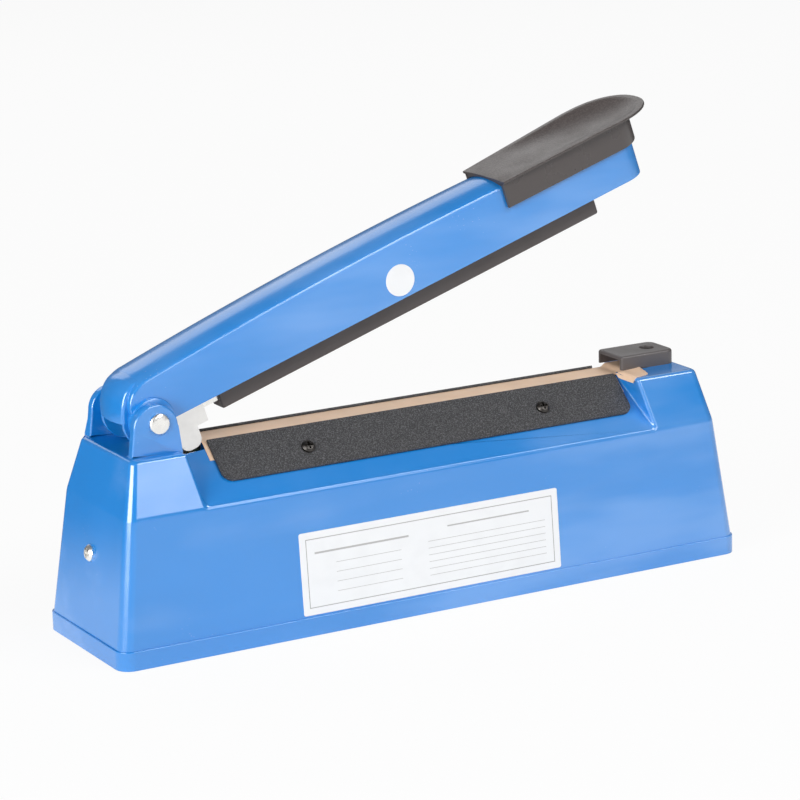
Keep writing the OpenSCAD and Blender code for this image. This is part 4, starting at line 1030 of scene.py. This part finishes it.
def at_lug(p):
    in_band = any(low - LUG_SLACK < p.y < high + LUG_SLACK for low, high in LUG_BANDS)
    return LUG_REACH[0] < p.x < LUG_REACH[1] and in_band and p.z > TOWER_Z - NEAR


def edge_radius(edge):
    """How far an edge of the shell is rounded, in millimetres."""
    a, b = (v.co / MM for v in edge.verts)
    if not (outside(a) and outside(b)) or len(edge.link_faces) != 2:
        return 0.0
    turn = math.degrees(edge.calc_face_angle())
    middle = (a + b) / 2
    if turn < EDGE_TURN or middle.z < RIM_Z:
        return 0.0

    def level_at(z):
        return abs(a.z - b.z) < NEAR and abs(middle.z - z) < NEAR

    if at_lug(middle):
        from_pin = math.hypot(a.x - HINGE.x / MM, a.z - HINGE.z / MM)
        if turn < LUG_TURN or middle.z > TOWER_Z and from_pin < PIN_BORE_R:
            return 0.0
        return LUG_FOOT_SOFT if level_at(TOWER_Z) else LUG_SOFT
    if level_at(TOWER_Z):
        return SOFTEST
    if level_at(KNEE_Z):
        return KNEE_FLAT_SOFT if turn < KNEE_TURN else KNEE_SOFT
    if level_at(SKIRT_H):
        return SKIRT_SOFT
    if middle.z > KNEE_Z and turn > SADDLE_TURN and abs(middle.y) > RIDGE_HALF + RIDGE_CLEAR:
        return SADDLE_SOFT
    return 0.0


def longest_edge(face):
    return max(face.edges, key=lambda edge: edge.calc_length())


def close_slivers(work):
    """Splits the long edge of each face that has no width, so that its neighbours meet there."""
    def is_sliver(face):
        return face.calc_area() < SLIVER * MM * longest_edge(face).calc_length()

    for face in [f for f in work.faces if is_sliver(f)]:
        edge = longest_edge(face)
        start = edge.verts[0]
        between = [v.co.copy() for v in face.verts if v not in edge.verts]
        work.faces.remove(face)
        for place in sorted(between, key=lambda co: (co - start.co).length):
            share = (place - start.co).length / edge.calc_length()
            _, start = bmesh.utils.edge_split(edge, start, share)
            start.co = place
    bmesh.ops.remove_doubles(work, verts=work.verts, dist=WELD * MM)


def rounded_copy(name, node, radius_of, softest):
    """A node's own faces as a new piece, with each edge rounded by what radius_of gives for it."""
    mesh = bpy.data.meshes.new(name)
    work = bmesh.new()
    work.from_mesh(nodes[node].data)
    bmesh.ops.remove_doubles(work, verts=work.verts, dist=WELD * MM)
    bmesh.ops.dissolve_limit(work, angle_limit=math.radians(FLAT_JOIN), verts=work.verts,
                             edges=work.edges)
    close_slivers(work)
    weights = work.edges.layers.float.new("bevel_weight_edge")
    for face in work.faces:
        face.smooth = True
    for edge in work.edges:
        radius = radius_of(edge)
        edge[weights] = radius / softest
        edge.smooth = radius > 0 or edge.calc_face_angle(0) < math.radians(SHARP_SHADE)
    work.to_mesh(mesh)
    work.free()
    made = placed(name, mesh)
    bevel = soften(made, softest, ROUND_SEGMENTS)
    bevel.limit_method = "WEIGHT"
    bevel.use_clamp_overlap = False
    even = made.modifiers.new("even_normals", "WEIGHTED_NORMAL")
    even.keep_sharp = True
    dress(made, "housing", surface_of(node), [node])


rounded_copy("body_moulding", "body_shell", edge_radius, SOFTEST)


# End cap: soft top edges and mouth
CAP_SOFT = 1.3
CAP_HOLE_SOFT = 0.35
CAP_MOUTH_SOFT = 0.9
CAP_TURN = 40
CAP_LOW, CAP_HIGH = (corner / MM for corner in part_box("end_cap"))
CAP_HALF = (CAP_HIGH.y - CAP_LOW.y) / 2
CAP_HOLE_X = 131.0
CAP_HOLE_R = 4.0


def cap_radius(edge):
    a, b = (v.co / MM for v in edge.verts)
    if len(edge.link_faces) != 2 or math.degrees(edge.calc_face_angle()) < CAP_TURN:
        return 0.0
    if min(a.z, b.z) > CAP_HIGH.z - NEAR:
        return CAP_HOLE_SOFT if math.hypot(a.x - CAP_HOLE_X, a.y) < CAP_HOLE_R else CAP_SOFT
    at_mouth = max(a.x, b.x) < CAP_LOW.x + NEAR
    on_side = min(abs(a.y), abs(b.y)) > CAP_HALF - NEAR
    return CAP_MOUTH_SOFT if at_mouth and on_side else 0.0


rounded_copy("cap_moulding", "end_cap", cap_radius, CAP_SOFT)


# Carried-over nodes: round their edges a little and give each its material
EDGES = {"rubber_feet": 0.6, "end_screws": 0.25, "hinge_pin": 0.3, "pin_clip": 0.2,
         "arm_frame": 0.25, "press_bar": 0.3, "press_rubber": 0.8, "front_clamp_plate": 0.4,
         "rear_clamp_plate": 0.4, "plate_screws": 0.2, "timer_knob": 0.4, "dial_plate": 0.1,
         "lamp_bezel": 0.3, "cord_gland": 0.5, "base_plate": 0.25}
NODE_WELD = 0.002
NODE_FLAT = 0.6
NORMAL_WEIGHT = 80


def carry_over(name, node):
    node.data.materials.clear()
    node.data.materials.append(surface_of(name).material)
    weld = node.modifiers.new("weld", "WELD")
    weld.merge_threshold = NODE_WELD * MM
    if name in EDGES:
        flat = node.modifiers.new("flat_faces", "DECIMATE")
        flat.decimate_type = "DISSOLVE"
        flat.angle_limit = math.radians(NODE_FLAT)
        soften(node, EDGES[name])
        even = node.modifiers.new("even_normals", "WEIGHTED_NORMAL")
        even.weight = NORMAL_WEIGHT


for node_name, node_object in nodes.items():
    if not node_object.hide_render:
        carry_over(node_name, node_object)


# Stage, light and camera; metres from here on
FLOOR_REACH = 6.0
FLOOR_COLOUR = (0.86, 0.86, 0.86)
FLOOR_ROUGH = 0.9
FLOOR_WHITE = 0.93
FLOOR_FADE = (0.1, 0.3)
FLOOR_FAR = 0.1
WORLD_FILL = 0.18
LAMP_AIM = Vector((0, 0, 0.08))
# Place, size and power in watts
SOFTBOXES = {
    "front_softbox": ((0.5, -1.75, 0.75), (0.9, 0.8), 6.5),
    "left_softbox": ((-1.85, -0.75, 0.6), (1.4, 1.1), 39),
    "high_softbox": ((0.75, -1.1, 1.55), (1.5, 0.5), 18),
    "back_softbox": ((0.5, 1.7, 1.0), (1.8, 0.8), 5)}


def stage_floor():
    corners = [(-1, -1), (1, -1), (1, 1), (-1, 1)]
    mesh = bpy.data.meshes.new("floor")
    mesh.from_pydata([(x * FLOOR_REACH, y * FLOOR_REACH, 0) for x, y in corners], [],
                     [(0, 1, 2, 3)])
    floor = placed("floor", mesh)
    made = Surface("floor_white", FLOOR_COLOUR, FLOOR_ROUGH)
    share, strength = white_share(made)
    glow = made.node("ShaderNodeEmission", {"Strength": strength})
    mix = made.node("ShaderNodeMixShader", {0: share, 1: made.shader.outputs[0],
                                            2: glow.outputs[0]})
    made.feed(made.tree.nodes["Material Output"].inputs["Surface"], mix.outputs[0])
    mesh.materials.append(made.material)


def white_share(made):
    """The floor's plain white for the camera, gloss and glass.

    Gives its share, and its strength, which in gloss is less at the back.
    """
    path = made.node("ShaderNodeLightPath").outputs
    position = made.parts(made.node("ShaderNodeNewGeometry").outputs["Position"])
    fade = made.node("ShaderNodeMapRange", {
        "Value": position["Y"], "From Min": FLOOR_FADE[0], "From Max": FLOOR_FADE[1],
        "To Min": 1.0, "To Max": FLOOR_FAR}).outputs["Result"]
    mirrored_ray = made.math("MAXIMUM", path["Is Glossy Ray"], path["Is Transmission Ray"])
    seen = made.math("MAXIMUM", path["Is Camera Ray"], mirrored_ray)
    return (made.math("MULTIPLY", seen, FLOOR_WHITE),
            made.math("MAXIMUM", path["Is Camera Ray"], fade))


def studio_world():
    world = bpy.data.worlds.new("studio")
    bpy.context.scene.world = world
    world.use_nodes = True
    tree = world.node_tree
    sky, white = tree.nodes["Background"], tree.nodes.new("ShaderNodeBackground")
    for shader, strength in ((sky, WORLD_FILL), (white, 1.0)):
        shader.inputs["Color"].default_value = (1, 1, 1, 1)
        shader.inputs["Strength"].default_value = strength
    mix = tree.nodes.new("ShaderNodeMixShader")
    path = tree.nodes.new("ShaderNodeLightPath")
    tree.links.new(path.outputs["Is Camera Ray"], mix.inputs[0])
    tree.links.new(sky.outputs[0], mix.inputs[1])
    tree.links.new(white.outputs[0], mix.inputs[2])
    tree.links.new(mix.outputs[0], tree.nodes["World Output"].inputs["Surface"])


def softbox(name, at, size, power):
    light = bpy.data.lights.new(name, "AREA")
    light.shape = "RECTANGLE"
    light.size, light.size_y = size
    light.energy = power
    holder = placed(name, light)
    holder.location = at
    holder.rotation_euler = (LAMP_AIM - Vector(at)).to_track_quat("-Z", "Y").to_euler()


def photo_camera():
    data = bpy.data.cameras.new("photo_camera")
    data.lens = CAMERA_LENS
    data.sensor_width = CAMERA_SENSOR
    camera = placed("photo_camera", data)
    up = CAMERA_RIGHT.cross(CAMERA_LOOK)
    turn = Matrix((CAMERA_RIGHT, up, -CAMERA_LOOK)).transposed()
    camera.matrix_world = Matrix.Translation(CAMERA_AT) @ turn.to_4x4()
    bpy.context.scene.camera = camera


stage_floor()
studio_world()
for lamp_name, lamp in SOFTBOXES.items():
    softbox(lamp_name, *lamp)
photo_camera()
bpy.context.scene.view_settings.view_transform = "Standard"
